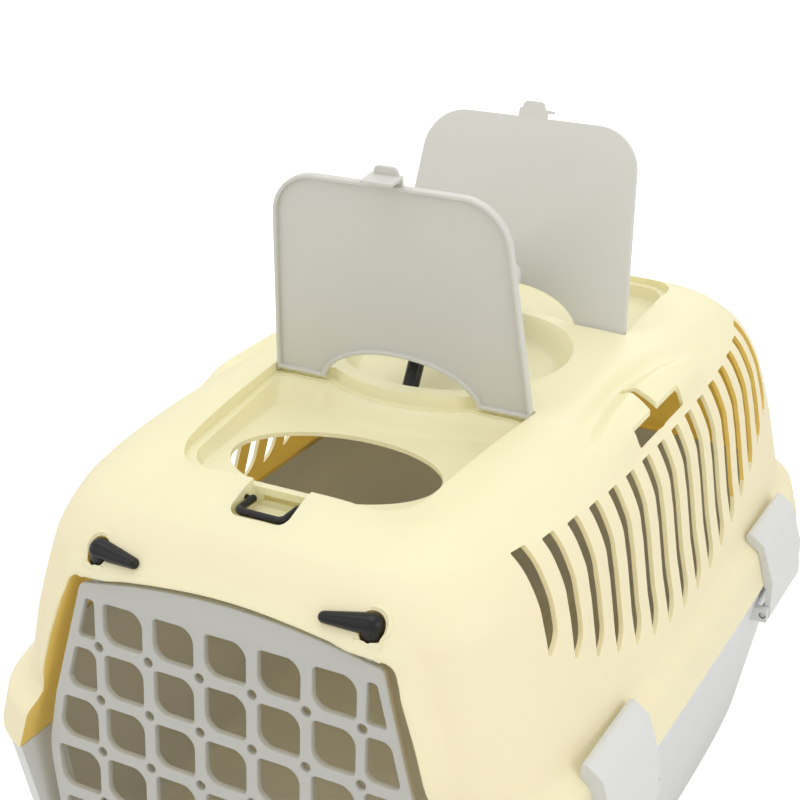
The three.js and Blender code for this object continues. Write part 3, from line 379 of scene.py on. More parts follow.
# The points of a ring are spread evenly along the ring at the lip.
lip_half, lip_front, lip_square = 150, 245, 5.5
points_per_quarter = 90
fine_steps = 2000
fine_angles = []
for step in range(fine_steps + 1):
    part = step / fine_steps
    fine_angles.append(0.5 * math.pi * part ** 2 / (part ** 2 + (1 - part) ** 2))
fine_points = [(lip_half * math.cos(a) ** (2 / lip_square), lip_front * math.sin(a) ** (2 / lip_square))
               for a in fine_angles]
run = [0]
for (ax, ay), (bx, by) in zip(fine_points, fine_points[1:]):
    run.append(run[-1] + math.hypot(bx - ax, by - ay))
quarter = []
spot = 0
for step in range(points_per_quarter):
    wanted = run[-1] * step / points_per_quarter
    while run[spot + 1] < wanted:
        spot += 1
    part = (wanted - run[spot]) / (run[spot + 1] - run[spot])
    quarter.append(fine_angles[spot] + (fine_angles[spot + 1] - fine_angles[spot]) * part)
angles = [a + turned for turned in (0, math.pi / 2, math.pi, 1.5 * math.pi) for a in quarter]


def signed_power(value, power):
    return math.copysign(abs(value) ** power, value)


def ring_row(ring):
    drop, half, front, rear, square, bow = ring
    row = []
    for angle in angles:
        across = signed_power(math.cos(angle), 2 / square)
        along = signed_power(math.sin(angle), 2 / square)
        reach = rear if along > 0 else front
        row.append(Vector((across * half * (1 - bow * along * along), along * reach, roof - drop)))
    return row


def soft_step(value):
    value = min(1, max(0, value))
    return value * value * (3 - 2 * value)


# Belt guides: two low pads on each shoulder beside the belt slot, with a fold along their inner
# edges. The crown also dips a little between the front compartment and the shoulders.
def guide_rise(point):
    tilt = math.radians(38)
    guide_across, guide_drop = 119, 13.5
    pad_height, pad_outer, pad_end = 5, 19, 94
    inner_edge, edge_bend, edge_length = -14, 12, 90
    fold_depth, fold_width, fold_length, fold_shift = 3.6, 5, 48, 4
    dip_depth, dip_across, dip_width, dip_along, dip_length = 3.2, 62, 17, -178, 20
    u = (abs(point.x) - guide_across) * math.cos(tilt) + (roof - point.z - guide_drop) * math.sin(tilt)
    v = abs(point.y - middle)
    edge = inner_edge + edge_bend * (v / edge_length) ** 2
    pad_across = soft_step((u - edge) / 5) * soft_step((pad_outer - u) / 14)
    pad_along = soft_step((v - 1) / 4) * soft_step((pad_end - v) / 34)
    fold = math.exp(-((u - edge + fold_shift) / fold_width) ** 2) * math.exp(-(v / fold_length) ** 2)
    dip = math.exp(-((abs(point.x) - dip_across) / dip_width) ** 2
                   - ((point.y - dip_along) / dip_length) ** 2)
    return pad_height * pad_across * pad_along - fold_depth * fold - dip_depth * dip


# The shell's skin, moved inwards by a distance. An inner skin runs on below the skirt's foot.
def shell_rows(distance):
    upward_lean = 60
    past_foot = 6
    rows = [ring_row(ring) for ring in rings]
    shifted = []
    for level, row in enumerate(rows):
        above = rows[max(level - 1, 0)]
        below = rows[min(level + 1, len(rows) - 1)]
        new_row = []
        for step, point in enumerate(row):
            sideways = row[(step + 1) % len(row)] - row[step - 1]
            downwards = below[step] - above[step]
            outwards = downwards.cross(sideways).normalized()
            if outwards.dot(Vector((point.x, point.y, upward_lean))) < 0:
                outwards.negate()
            new_row.append(point + outwards * (guide_rise(point) - distance))
        shifted.append(new_row)
    foot = roof - rings[-1][0]
    for point in shifted[-1]:
        point.z = foot
    if distance > 0:
        shifted.append([Vector((point.x, point.y, foot - past_foot)) for point in shifted[-1]])
    return shifted


# A flap's seat, seen from above in the flap's own place: an arch round the hand bowl, two straight
# sides that draw in, and two large corners. It turns about the flap's hinge.
hinge_reach = 69.5
hinge_drop = 2.25


def seat_loop(inset, height, slope, corner, across):
    back_half, front_half, length, front_corner = 82, 71, 126, 29
    arch_radius = 79.5 + inset
    seat_back = 3.5 - inset
    side_angle = math.acos((hinge_reach - seat_back) / arch_radius)
    corners = []
    for step in range(16):
        angle = side_angle * step / 16
        corners.append((arch_radius * math.sin(angle), arch_radius * math.cos(angle) - hinge_reach, 0))
    corners.append((arch_radius * math.sin(side_angle), -seat_back, 0))
    corners.append((back_half - across, -seat_back, corner))
    corners.append((front_half - across, length - across, front_corner - across))
    corners.append((0, length - across, 0))
    tilt = math.tan(math.radians(slope))
    return [Vector((p.x, p.y, height - tilt * p.y)) for p in rounded(both_halves(corners), 10)]


def tray_tools(side, depth, growth):
    seat_drop, seat_slope, rim_inset, floor_inset, tray_corner, steps = 4.9, 3, 4, 14.5, 9, 14
    sides_share = 0.42
    ledge = roof - seat_drop - growth
    floor = roof - depth - growth
    sharp = 1.5 + growth

    def turned(loops):
        return [[Vector((p.x, middle + side * (hinge_reach + p.y), p.z)) for p in loop] for loop in loops]

    seat = turned([seat_loop(-growth, ledge, seat_slope, sharp, -growth),
                   seat_loop(-growth, far, 0, sharp, -growth)])
    levels = []
    for step in range(steps + 1):
        inset = floor_inset - (floor_inset - rim_inset) * step / steps - growth
        levels.append((inset, floor + (ledge - 1 - floor) * soft_step(step / steps)))
    levels.append((rim_inset - growth, roof))
    tray = turned([
        seat_loop(inset, height, 0, tray_corner,
                  rim_inset - growth + (inset + growth - rim_inset) * sides_share)
        for inset, height in levels])
    return [solid(seat), solid(tray)]


def bowl_tool(growth):
    bowl_drop, flat_radius, slope_width, slope_height, steps = 12, 57, 16, 15.5, 14
    floor = roof - bowl_drop - growth
    profile = [(0.5, floor), (30, floor)]
    for step in range(steps + 1):
        share = step / steps
        profile.append((flat_radius + slope_width * share + growth, floor + slope_height * soft_step(share)))
    profile.append((flat_radius + slope_width + growth, far))
    return solid([
        [Vector((radius * math.cos(a), middle + radius * math.sin(a), height)) for a in full_turn(96)]
        for radius, height in profile])


def pocket_tool(side, growth):
    back = middle + side * (196.9 - growth)
    front = middle + side * (220.8 + growth)
    half = 17 + growth
    corner = 6 + growth
    depth = 20 + growth
    outline = rounded([(-half, back, 2), (-half, front, corner), (half, front, corner), (half, back, 2)])
    return bar(outline, "z", roof - depth, far)


def recess_tools(growth):
    front_depth, rear_depth = 18, 20
    tools = tray_tools(-1, front_depth, growth) + tray_tools(1, rear_depth, growth)
    return tools + [bowl_tool(growth), pocket_tool(-1, growth), pocket_tool(1, growth)]


# The doorway seen from the front, (x, height, radius): an arched crown, cheeks and a low sill.
def opening_outline(growth):
    crown = [(x, 255.6 + growth - 0.00142 * x * x, 0) for x in range(0, 61, 6)]
    cheek = [(71, 248.6 + growth, 40), (93.5 + growth, 246 + growth, 8 + growth), (107 + growth, 208, 80),
             (117.5 + growth, 170, 0), (125 + growth, 140, 0)]
    sill_corner = [(105 + growth, 40 - growth, 20 + growth), (0, 40 - growth, 0)]
    return rounded(both_halves(crown + cheek + sill_corner))


jamb_back = -228

# The door pins, their lever seats and the door lean forward by 3.5 degrees.
pin_half = 78.5
pin_front = -237.4
door_lean = 3.5


def on_pin(side, drop):
    drop_there = 52
    forward = math.tan(math.radians(door_lean)) * (drop - drop_there)
    return Vector((side * pin_half, pin_front - forward, roof - drop))


lever_clearance = 0.35
outside = solid(shell_rows(0))
outline_copy = copy_of(outside)
grown_copy = solid(shell_rows(-lever_clearance))
inside = solid(shell_rows(wall))
carve(outside, recess_tools(0))
carve(inside, recess_tools(wall))
top = carve(outside, [inside])

# A collar lines the doorway, a cup stands under each lever, and lugs guide each pin below the lip.
cup_radius, cup_foot, cup_top, cup_proud = 9.4, 51.6, 45.3, 2.4
collar = temporary(bar(opening_outline(wall), "y", -far, jamb_back))
carve(collar, [copy_of(outline_copy)], "INTERSECT")
extras = [collar]
for side in (-1, 1):
    cup = temporary(rod_mesh(on_pin(side, cup_foot), on_pin(side, cup_top), cup_radius, 48))
    carve(cup, [solid(shell_rows(-cup_proud))], "INTERSECT")
    extras.append(cup)
carve(top, extras, "UNION")
carve(top, [bar(opening_outline(0), "y", -far, jamb_back + wall)])
lug_places, lug_half, lug_front, lug_rear = (71.5, 85.5), 1.5, -245.4, -232
lug_foot, lug_top = roof - 53.7, roof - 50.3
lugs = [block((side * x - lug_half, lug_front, lug_foot), (side * x + lug_half, lug_rear, lug_top))
        for side in (-1, 1) for x in lug_places]
carve(top, lugs, "UNION")


def tube(points, radii, segments=20):
    rows = []
    across = Vector((1, 0, 0))
    for place, point in enumerate(points):
        ahead = points[min(place + 1, len(points) - 1)] - points[max(place - 1, 0)]
        ahead.normalize()
        if abs(ahead.dot(across)) > 0.9:
            across = Vector((0, 0, 1))
        across = (across - ahead * across.dot(ahead)).normalized()
        upward = ahead.cross(across)
        radius = radii if isinstance(radii, (int, float)) else radii[place]
        rows.append([point + (across * math.cos(a) + upward * math.sin(a)) * radius
                     for a in full_turn(segments)])
    return rows


# The lip: a rolled bead round the doorway, laid on the shell's face and fading out down the jambs.
def on_face(x, height):
    _, place, normal, _ = outline_copy.ray_cast(Vector((x, -far, height)), Vector((0, 1, 0)))
    return place - normal * 0.5


def lip_rise(x, height):
    edge_rise, jamb_rise, crown_rise, seat_rise = 1.3, 5.6, 0.5, 2
    fade_foot, jamb_foot, jamb_head, crown_foot, seat_inner = 160, 168, 248, 236, 60
    jamb = soft_step((jamb_head - height) / 18) * soft_step((height - jamb_foot) / 22)
    crown = soft_step((height - crown_foot) / 10)
    seat = soft_step((abs(x) - seat_inner) / 9) * soft_step((height - crown_foot) / 8)
    fade = soft_step((height - fade_foot) / 12)
    return (edge_rise + jamb_rise * jamb + crown_rise * crown + seat_rise * seat) * fade


lip_profile = [
    (0, -3), (0, 3.3), (0.4, 4.4), (1.3, 5), (2.6, 4.9), (4.2, 4.1), (6.2, 2.8), (8.5, 1.5), (11, 0.5),
    (13, -0.4), (13, -3)]
profile_height = 5
least_rise = 0.04
lip_step = 5
lip_foot = 157
sinks_below = 172
path = []
outline = opening_outline(0)
for place, point in enumerate(outline):
    beyond = outline[(place + 1) % len(outline)]
    steps = max(1, int((beyond - point).length / lip_step))
    path += [point.lerp(beyond, step / steps) for step in range(steps)]
start = next(place for place, point in enumerate(path) if point.y < 60)
path = [point for point in path[start:] + path[:start] if point.y > lip_foot]
rows = []
for place, point in enumerate(path):
    ahead = path[min(place + 1, len(path) - 1)] - path[max(place - 1, 0)]
    away = Vector((ahead.y, -ahead.x)).normalized()
    if away.dot(point - Vector((0, 180))) < 0:
        away.negate()
    rise = lip_rise(point.x, point.y) / profile_height
    sunk = 0.5 - 0.9 * soft_step((sinks_below - point.y) / 8)
    row = []
    for across, upward in lip_profile:
        edge = point + away * across * (0.5 + 0.5 * min(1, rise))
        lifted = upward * max(rise, least_rise) if upward > 0 else upward
        row.append(on_face(edge.x, edge.y) + Vector((0, -lifted - sunk, 0)))
    rows.append(row)
carve(top, [solid(rows)], "UNION")

# A raised crescent stands round the inner side of each lever's seat.
crescent_radius, crescent_start, crescent_sweep, crescent_steps = 8.7, 118, 215, 24
thin, swell = 0.25, 1.25
face_slope = math.radians(56)
for side in (-1, 1):
    seat_centre = on_face(side * pin_half, roof - 39)
    curve = []
    widths = []
    for step in range(crescent_steps + 1):
        share = step / crescent_steps
        angle = math.radians(crescent_start - crescent_sweep * share)
        curve.append(on_face(
            seat_centre.x + side * crescent_radius * math.cos(angle),
            seat_centre.z + crescent_radius * math.sin(angle) * math.sin(face_slope)))
        widths.append(thin + swell * math.sin(math.pi * share) ** 0.5)
    carve(top, [solid(tube(curve, widths, 16))], "UNION")
carve(top, [bar(opening_outline(0), "y", -far, jamb_back + wall)])

# Air slots: sixteen on each side, their feet rising towards the ends and pointed at the front.
slot_count, slot_pitch, slot_width = 16, 23.5, 11.3
slot_slant = math.tan(math.radians(3.5))
toe_height = 13


def slot_point(y, head, across, height):
    return (y + (across - 0.5) * slot_width - slot_slant * (head - height), height)


slots = bmesh.new()
last_place = (slot_count - 1) / 2
for number in range(slot_count):
    y = middle + (number - last_place) * slot_pitch
    share = (number - last_place) / last_place
    foot = roof - (123.5 - (52.5 if share < 0 else 44.5) * abs(share) ** 1.9)
    head = roof - (28 - 7 * share ** 2)
    corners = [(*slot_point(y, head, 0, head), 0.9), (*slot_point(y, head, 0, foot), 1.2)]
    for step in range(1, 8):
        across = math.sin(math.pi / 2 * step / 8) ** 1.25
        height = foot + toe_height * (1 - math.cos(math.pi / 2 * step / 8))
        corners.append((*slot_point(y, head, across, height), 0))
    corners += [(*slot_point(y, head, 1, foot + toe_height), 0), (*slot_point(y, head, 1, head), 0.9)]
    for low, high in ((-far, -40), (40, far)):
        part = bar(rounded(corners, 4), "x", low, high)
        part_data = bpy.data.meshes.new("temporary")
        part.to_mesh(part_data)
        part.free()
        slots.from_mesh(part_data)
        bpy.data.meshes.remove(part_data)
carve(top, [slots])


# A T-shaped slot for a car's belt, cut down through the shoulder between the two guides.
def belt_slot(side):
    inner, outer, stem_end, half_length, depth = 125.9, 131.75, 105, 36, 29.5
    mouth_half, stem_half = 5.25, 3
    points = rounded([
        (side * outer, middle - half_length, 2.2), (side * outer, middle + half_length, 2.2),
        (side * inner, middle + half_length, 1), (side * inner, middle + mouth_half, 1.5),
        (side * stem_end, middle + stem_half, 1.4), (side * stem_end, middle - stem_half, 1.4),
        (side * inner, middle - mouth_half, 1.5), (side * inner, middle - half_length, 1)])
    return bar(points, "z", roof - depth, far)


# The low rim between a flap's seat and its ring pocket, and the slit for the flap's snap.
def pocket_notch(side):
    pocket_side, notch_start, notch_half, notch_depth = 197.3, 194.5, 17, 9.5
    slit_start, slit_half, slit_foot, slit_top = 193.9, 11.2, 17.4, 13.6
    near, beyond = sorted((middle + side * notch_start, middle + side * pocket_side))
    notch = block((-notch_half, near, roof - notch_depth), (notch_half, beyond, far))
    near, beyond = sorted((middle + side * slit_start, middle + side * pocket_side))
    slit = block((-slit_half, near, roof - slit_foot), (slit_half, beyond, roof - slit_top))
    return [notch, slit]


oval_half_width, oval_half_length, oval_middle = 61, 39, -136.4
oval_rows = [
    [Vector((oval_half_width * math.cos(a), oval_middle + oval_half_length * math.sin(a), height))
     for a in full_turn(96)]
    for height in (roof - 40, roof + 40)]
lever_drop = 39.6
well_radius, well_foot = 6.9, 47
pin_hole, pin_hole_foot, pin_hole_head = 3.1, 54.8, 40.5
hinge_hole, hinge_hole_start, hinge_hole_end = 2.5, 79, 85
ring_reach = 202.5
ring_drop = 14
ring_hole, ring_hole_end = 2, 20
rod_reach = 62
rod_hole, rod_hole_depth = 5.8, 27
cuts = [solid(oval_rows), belt_slot(-1), belt_slot(1)] + pocket_notch(-1) + pocket_notch(1)
for side in (-1, 1):
    cuts.append(rod_mesh(on_pin(side, well_foot), on_pin(side, lever_drop), well_radius, 48))
    cuts.append(ball_mesh(on_pin(side, lever_drop), well_radius))
    cuts.append(rod_mesh(on_pin(side, pin_hole_foot), on_pin(side, pin_hole_head), pin_hole, 24))
    hinge, level = middle + side * hinge_reach, roof - hinge_drop
    for end in (-1, 1):
        cuts.append(rod_mesh(
            (end * hinge_hole_start, hinge, level), (end * hinge_hole_end, hinge, level), hinge_hole, 24))
    pivot, level = middle + side * ring_reach, roof - ring_drop
    cuts.append(rod_mesh((-ring_hole_end, pivot, level), (ring_hole_end, pivot, level), ring_hole, 24))
    rod_foot = middle + side * rod_reach
    cuts.append(rod_mesh((0, rod_foot, roof - rod_hole_depth), (0, rod_foot, roof), rod_hole, 32))
carve(top, cuts)
finish_piece(top, "roof_shell", shell_look)

# Faces that look in at the cabin, well below the crest, take the inner look: a painted golden
# colour and painted glow for the light that comes through the wall and bounces about inside.
inner_from_drop, facing_in, length_weight = 23, -0.35, 0.6
top.data.materials.append(inner_painted_glow_look)
for face in top.data.polygons:
    outwards = Vector((face.center.x, face.center.y * length_weight, 0))
    if face.center.z < (roof - inner_from_drop) / 1000 and face.normal.dot(outwards.normalized()) < facing_in:
        face.material_index = 1
bpy.data.objects.remove(outline_copy)
dress("top_shell", shell_look)
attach(top, "shell")
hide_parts("top_shell")


# Base: a deep light grey polypropylene pan, one moulding that narrows to its foot. Its rim stands
# up inside the roof shell's skirt, and lugs on its sides carry the clips.
grey_look = plastic("grey_plastic", (209, 210, 207), roughness=0.45, grain=0.15)
seam = 139.6
rim_clearance = 3.4
rim_top = 158
straight_ring = (12, 152.2, 256, 242, 5)
seam_ring = (seam, 175.5, 266.5, 259, 5.8)
base_rings = [
    (0, 140, 244, 230, 5), (0.6, 143.2, 247.3, 233.3, 5), (1.8, 146.4, 250.4, 236.4, 5),
    (3.5, 148.6, 252.5, 238.5, 5), (7, 150.6, 254.5, 240.5, 5), straight_ring]
for step in range(1, 17):
    base_rings.append(tuple(a + (b - a) * (step / 16) for a, b in zip(straight_ring, seam_ring)))
rim_rings = [(seam, 177 - 6 * share, 268 - 5 * share, 260.5 - 5 * share, 5.8) for share in (0, 0.82)]


def base_row(ring, inset, height=None):
    level, half, front, rear, square = ring
    level = level if height is None else height
    return ring_row((roof - level, half - inset, front - inset, rear - inset, square, 0.01))


base = solid([base_row(ring, 0) for ring in base_rings])
rim = [base_row(rim_rings[0], rim_clearance, seam - 1), base_row(rim_rings[0], rim_clearance),
       base_row(rim_rings[1], rim_clearance, rim_top)]
carve(base, [solid(rim)], "UNION")
rim_inside = rim_clearance + wall
foot_inset, above_rim = 6, 200
hollow = [base_row(base_rings[0], foot_inset, wall)]
hollow += [base_row(ring, wall, ring[0] + wall if ring[0] < straight_ring[0] else None)
           for ring in base_rings[1:-1]]
hollow += [base_row(rim_rings[0], rim_inside), base_row(rim_rings[1], rim_inside, rim_top),
           base_row(rim_rings[1], rim_inside, above_rim)]
solid_base = copy_of(base)
carve(base, [solid(hollow)])
sill = temporary(bar(opening_outline(wall), "y", -far, jamb_back))
carve(sill, [solid_base], "INTERSECT")

clip_middles = (-145, 129)
lug_near, lug_beyond = 33.4, 38.4
lug_inner, lug_outer, lug_foot, lug_top = 160, 181.5, 116.5, 125.5
clip_axis_out, clip_axis_up, clip_pin_hole = 178.6, 121, 2.4
lugs = []
for side in (-1, 1):
    for centre in clip_middles:
        for end in (-1, 1):
            near, beyond = sorted((centre + end * lug_near, centre + end * lug_beyond))
            low, high = sorted((side * lug_inner, side * lug_outer))
            lug = temporary(block((low, near, lug_foot), (high, beyond, lug_top)))
            carve(lug, [rod_mesh((side * clip_axis_out, near - 1, clip_axis_up),
                                 (side * clip_axis_out, beyond + 1, clip_axis_up), clip_pin_hole, 20)])
            carve(lug, [solid([base_row(ring, wall / 2) for ring in base_rings])])
            lugs.append(lug)
carve(base, [sill] + lugs, "UNION")

# Above the seam the sill gives way to the roof's collar. The door's stubs stand in two holes, of
# which the right-hand one is open to the front, so that the door can swing out of it.
collar_clearance = 0.8
stub_hole_foot, stub_hole_head = 265, 255
way_out_foot, way_out_top = 35, 40.4
relief = temporary(bar(opening_outline(wall + collar_clearance), "y", -far, jamb_back + wall))
carve(relief, [block((-far, -far, 0), (far, 0, seam))])
sill_cuts = [bar(opening_outline(0), "y", -far, jamb_back + wall), relief]
for side in (-1, 1):
    sill_cuts.append(rod_mesh(on_pin(side, stub_hole_foot), on_pin(side, stub_hole_head), pin_hole, 24))
sill_cuts.append(block(
    (pin_half - pin_hole, -far, way_out_foot), (pin_half + pin_hole, on_pin(1, 260).y, way_out_top)))
carve(base, sill_cuts)
finish_piece(base, "base_pan", grey_look)
dress("base_shell", grey_look)
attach(base, "shell")
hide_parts("base_shell")


# Door: a lattice moulded in light grey polypropylene, 4.5 mm thick with soft edges. Bosses at its
# top take the pins that the levers hold, and stubs at its foot stand in the sill.
door_look = plastic("door_plastic", (183, 183, 176), roughness=0.45, grain=0.15)


# A flat plate with softened edges, filled between its first outline and the holes in it.
def plate(outlines, thick, soft):
    curve = bpy.data.curves.new("temporary", "CURVE")
    curve.dimensions = "2D"
    curve.fill_mode = "BOTH"
    curve.extrude = thick / 2 - soft
    curve.bevel_depth = soft
    curve.bevel_resolution = 2
    curve.offset = -soft
    for points in outlines:
        spline = curve.splines.new("POLY")
        spline.points.add(len(points) - 1)
        spline.use_cyclic_u = True
        for knot, point in zip(spline.points, points):
            knot.co = (point[0], point[1], 0, 1)
    thing = bpy.data.objects.new("temporary", curve)
    bpy.context.scene.collection.objects.link(thing)
    mesh = bmesh.new()
    data = bpy.data.meshes.new_from_object(thing.evaluated_get(bpy.context.evaluated_depsgraph_get()))
    mesh.from_mesh(data)
    bpy.data.objects.remove(thing)
    bpy.data.meshes.remove(data)
    bmesh.ops.remove_doubles(mesh, verts=mesh.verts, dist=1e-3)
    bmesh.ops.recalc_face_normals(mesh, faces=mesh.faces)
    return mesh


# Half the door's width at a drop below the crest, widest a little above the seam.
def door_half(drop):
    widths = [(57, 88), (127, 107), (160, 113), (258, 98)]
    for (a, half_a), (b, half_b) in zip(widths, widths[1:]):
        if drop <= b:
            return half_a + (half_b - half_a) * (drop - a) / (b - a)


# The lattice's squares have two soft and two tight corners. A narrower hole closes each row.
door_thick, door_soft = 4.5, 0.9
door_drop = 52
pitch = 31
row_count, column_count = 6, 5
first_row = 92
hole_half = 12.15
soft_corner, tight_corner = 8.5, 3
edge_hole, edge_rib = 79.6, 5.6
round_hole = 2.7
first_row_cut = 1.6
crest = [(x, 4.2 - 0.00126 * x * x, 0) for x in range(0, 79, 6)]
door_corners = [(88, -5.4, 5.5), (107, -75, 60), (113, -108, 60), (98, -206, 14), (0, -206, 0)]
outlines = [rounded(both_halves(crest + door_corners), 8)]
for row in range(row_count):
    centre = first_row + (row - 0.5) * pitch
    head = door_drop - (centre - hole_half + (0 if row else first_row_cut))
    foot = door_drop - (centre + hole_half)
    for column in range(column_count):
        x = (column - (column_count - 1) / 2) * pitch
        outlines.append(rounded([
            (x - hole_half, head, tight_corner), (x - hole_half, foot, soft_corner),
            (x + hole_half, foot, tight_corner), (x + hole_half, head, soft_corner)], 6))
    for side in (-1, 1):
        high = door_half(door_drop - head) - edge_rib
        low = door_half(door_drop - foot) - edge_rib
        wide = min(soft_corner, (high - edge_hole) * 0.45)
        narrow = min(tight_corner, (high - edge_hole) * 0.3)
        first, second = (wide, narrow) if side < 0 else (narrow, wide)
        outlines.append(rounded([
            (side * edge_hole, head, first), (side * edge_hole, foot, second),
            (side * low, foot, first), (side * high, head, second)], 6))
    if row < row_count - 1:
        for column in range(column_count + 1):
            x = (column - column_count / 2) * pitch
            y = door_drop - (first_row + row * pitch)
            outlines.append([(x + round_hole * math.cos(a), y + round_hole * math.sin(a))
                             for a in full_turn(24)])
panel = plate(outlines, door_thick, door_soft)
upright = Matrix(((1, 0, 0, 0), (0, 0, 1, door_thick / 2), (0, 1, 0, 0), (0, 0, 0, 1)))
bmesh.ops.transform(panel, matrix=upright, verts=panel.verts)
bmesh.ops.recalc_face_normals(panel, faces=panel.faces)
door = temporary(panel)
pin_depth = 6.6
boss_radius, stub_radius = 4.6, 2.5
door_face = -244
head_boss, foot_boss, foot_stub = (-2.8, -11.8), (-207.2, -198.2), (-212.2, -202.7)
uprights = ((head_boss, boss_radius, 40), (foot_boss, boss_radius, 40), (foot_stub, stub_radius, 24))
bosses = []
for side in (-1, 1):
    x = side * pin_half
    for (low, high), radius, segments in uprights:
        bosses.append(rod_mesh((x, pin_depth, low), (x, pin_depth, high), radius, segments))
carve(door, bosses, "UNION")
socket_end = -8.9
sockets = [rod_mesh((side * pin_half, pin_depth, socket_end), (side * pin_half, pin_depth, 52), pin_hole, 24)
           for side in (-1, 1)]
way_out = block((pin_half - pin_hole, pin_depth, socket_end), (pin_half + pin_hole, 200, 52))
carve(door, sockets + [way_out])
leaning = Matrix.Rotation(math.radians(-door_lean), 4, "X")
door.data.transform(Matrix.Translation((0, door_face, roof - door_drop)) @ leaning)
finish_piece(door, "lattice_door", door_look)
dress("door", grey_look)
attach(door, "door")
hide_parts("door")


# Door pins: black plastic, each moulded with a collar that stops under the lip. Each is pushed up
# through its hole and locked to its lever, and turns with it.
black_look = plastic("black_plastic", (20, 19, 18), roughness=0.27, grain=0.1, ior=1.4)
pin_radius, pin_head, pin_foot = 2.5, 47.1, 60.5
collar_radius, collar_head, collar_foot = 5.2, 52.8, 54
for side, hand in ((-1, "left"), (1, "right")):
    pin = temporary(rod_mesh(on_pin(side, pin_head), on_pin(side, pin_foot), pin_radius, 40))
    pin_collar = rod_mesh(on_pin(side, collar_head), on_pin(side, collar_foot), collar_radius, 48)
    carve(pin, [pin_collar], "UNION")
    finish_piece(pin, "hinge_pin_" + hand, black_look)
    dress("door_pin_" + hand, black_look)
    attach(pin, "lever_" + hand)
    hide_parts("door_pin_" + hand)


# Levers: glossy black plastic teardrops with a soft ridge, each moulded with a round hub that turns
# in its well in the lip. A finger swings the tail to free the door's pin.
hub_radius, hub_foot, hub_head = 6, 46.6, 40
tail_radius, lever_length, lever_swing = 3.1, 27, 11
ridge_rise, ridge_valley, flattening = 0.1, 0.05, 0.93
tail = lever_length - tail_radius
taper = math.asin((hub_radius - tail_radius) / tail)
profile = [(-5.99, 0.3)]
for step in range(1, 11):
    angle = -math.pi / 2 + (math.pi / 2 + taper) * step / 10
    profile.append((hub_radius * math.sin(angle), hub_radius * math.cos(angle)))
for step in range(8):
    angle = taper + (math.pi / 2 - taper) * step / 8
    profile.append((tail + tail_radius * math.sin(angle), tail_radius * math.cos(angle)))
profile.append((26.99, 0.25))
rows = []
for along, radius in profile:
    ring = []
    for angle in full_turn(48):
        crown = math.exp(-((angle - math.pi) / 0.35) ** 2)
        valley = math.exp(-((angle - math.pi) / 0.9) ** 2)
        ridge = 1 + ridge_rise * crown - ridge_valley * valley
        flat = flattening if math.sin(angle) < 0 else 1
        ring.append(Vector((along, radius * ridge * math.cos(angle), radius * flat * math.sin(angle))))
    rows.append(ring)
for side, hand in ((-1, "left"), (1, "right")):
    lever = solid(rows)
    facing = Matrix.Identity(4) if side < 0 else Matrix.Scale(-1, 4, (1, 0, 0))
    swing = Matrix.Rotation(math.radians(side * lever_swing), 4, "Z")
    lever.data.transform(Matrix.Translation(on_pin(side, lever_drop)) @ swing @ facing)
    if side > 0:
        lever.data.flip_normals()
    carve(lever, [copy_of(grown_copy)])
    hub = [rod_mesh(on_pin(side, hub_foot), on_pin(side, hub_head), hub_radius, 48),
           ball_mesh(on_pin(side, lever_drop), hub_radius)]
    carve(lever, hub, "UNION")
    finish_piece(lever, "lever_" + hand, black_look, sharp=40)
    dress("door_lever_" + hand, black_look)
    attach(lever, "lever_" + hand)
    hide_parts("door_lever_" + hand)
bpy.data.objects.remove(grown_copy)


# Roof flaps: thin grey polypropylene lids with a low rim beneath, an arch for the hand and a thumb
# tab with a snap tongue. Each turns on two stubs, sprung into holes beside its seat.
flap_look = plastic("flap_plastic", (203, 202, 194), roughness=0.45, grain=0.15)


def flap_outline(inset):
    arch_half, arch_depth, back_half, front_half, length, front_corner = 48.5, 22.3, 81, 70, 125, 28
    corners = []
    for step in range(12):
        angle = math.pi / 2 * step / 12
        corners.append((
            (arch_half + inset) * math.sin(angle) ** 0.9, inset + arch_depth * math.cos(angle) ** 1.25, 0))
    corners.append((arch_half + inset, inset, 1))
    corners.append((back_half - inset, inset, 1.2))
    corners.append((front_half - inset, length - inset, front_corner - inset))
    corners.append((0, length - inset, 0))
    return rounded(both_halves(corners), 10)


def flap(side, degrees):
    lid_thick, lid_soft, lid_rise = 2, 0.45, 1.25
    rim_thick, rim_soft, rim_width = 4.5, 0.6, 2.2
    stub_start, stub_end, stub_thick = 78.8, 84, 1.9
    tab_corners = [
        (-8.5, 117, 0), (8.5, 117, 0), (8.8, 126, 2), (6.5, 135, 3), (-6.5, 135, 3), (-8.8, 126, 2)]
    lid = plate([flap_outline(0)], lid_thick, lid_soft)
    edge = plate([flap_outline(0), flap_outline(rim_width)], rim_thick, rim_soft)
    tab = plate([rounded(tab_corners)], lid_thick, lid_soft)
    for raised in (lid, tab):
        bmesh.ops.translate(raised, vec=(0, 0, lid_rise), verts=raised.verts)
    tongue_half, tongue_front, tongue_head = 9.5, 130.3, 2.2
    tongue_root = block((-tongue_half, 122.8, 0.25), (tongue_half, tongue_front, tongue_head))
    tongue = block((-tongue_half, 128.7, -10.75), (tongue_half, tongue_front, tongue_head))
    stubs = [rod_mesh((end * stub_start, 0, 0), (end * stub_end, 0, 0), stub_thick, 24) for end in (-1, 1)]
    lid = carve(temporary(lid), [edge, tab, tongue_root, tongue] + stubs, "UNION")
    if side < 0:
        lid.data.transform(Matrix.Scale(-1, 4, (0, 1, 0)))
        lid.data.flip_normals()
    hinge = Matrix.Translation((0, middle + side * hinge_reach, roof - hinge_drop))
    lid.data.transform(hinge @ Matrix.Rotation(math.radians(side * degrees), 4, "X"))
    return lid


for side, end, open_angle in ((-1, "front", 82.4), (1, "rear", 73.4)):
    lid = flap(side, open_angle)
    finish_piece(lid, end + "_flap", flap_look)
    dress("flap_" + end, grey_look)
    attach(lid, "flap_" + end)
    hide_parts("flap_" + end)


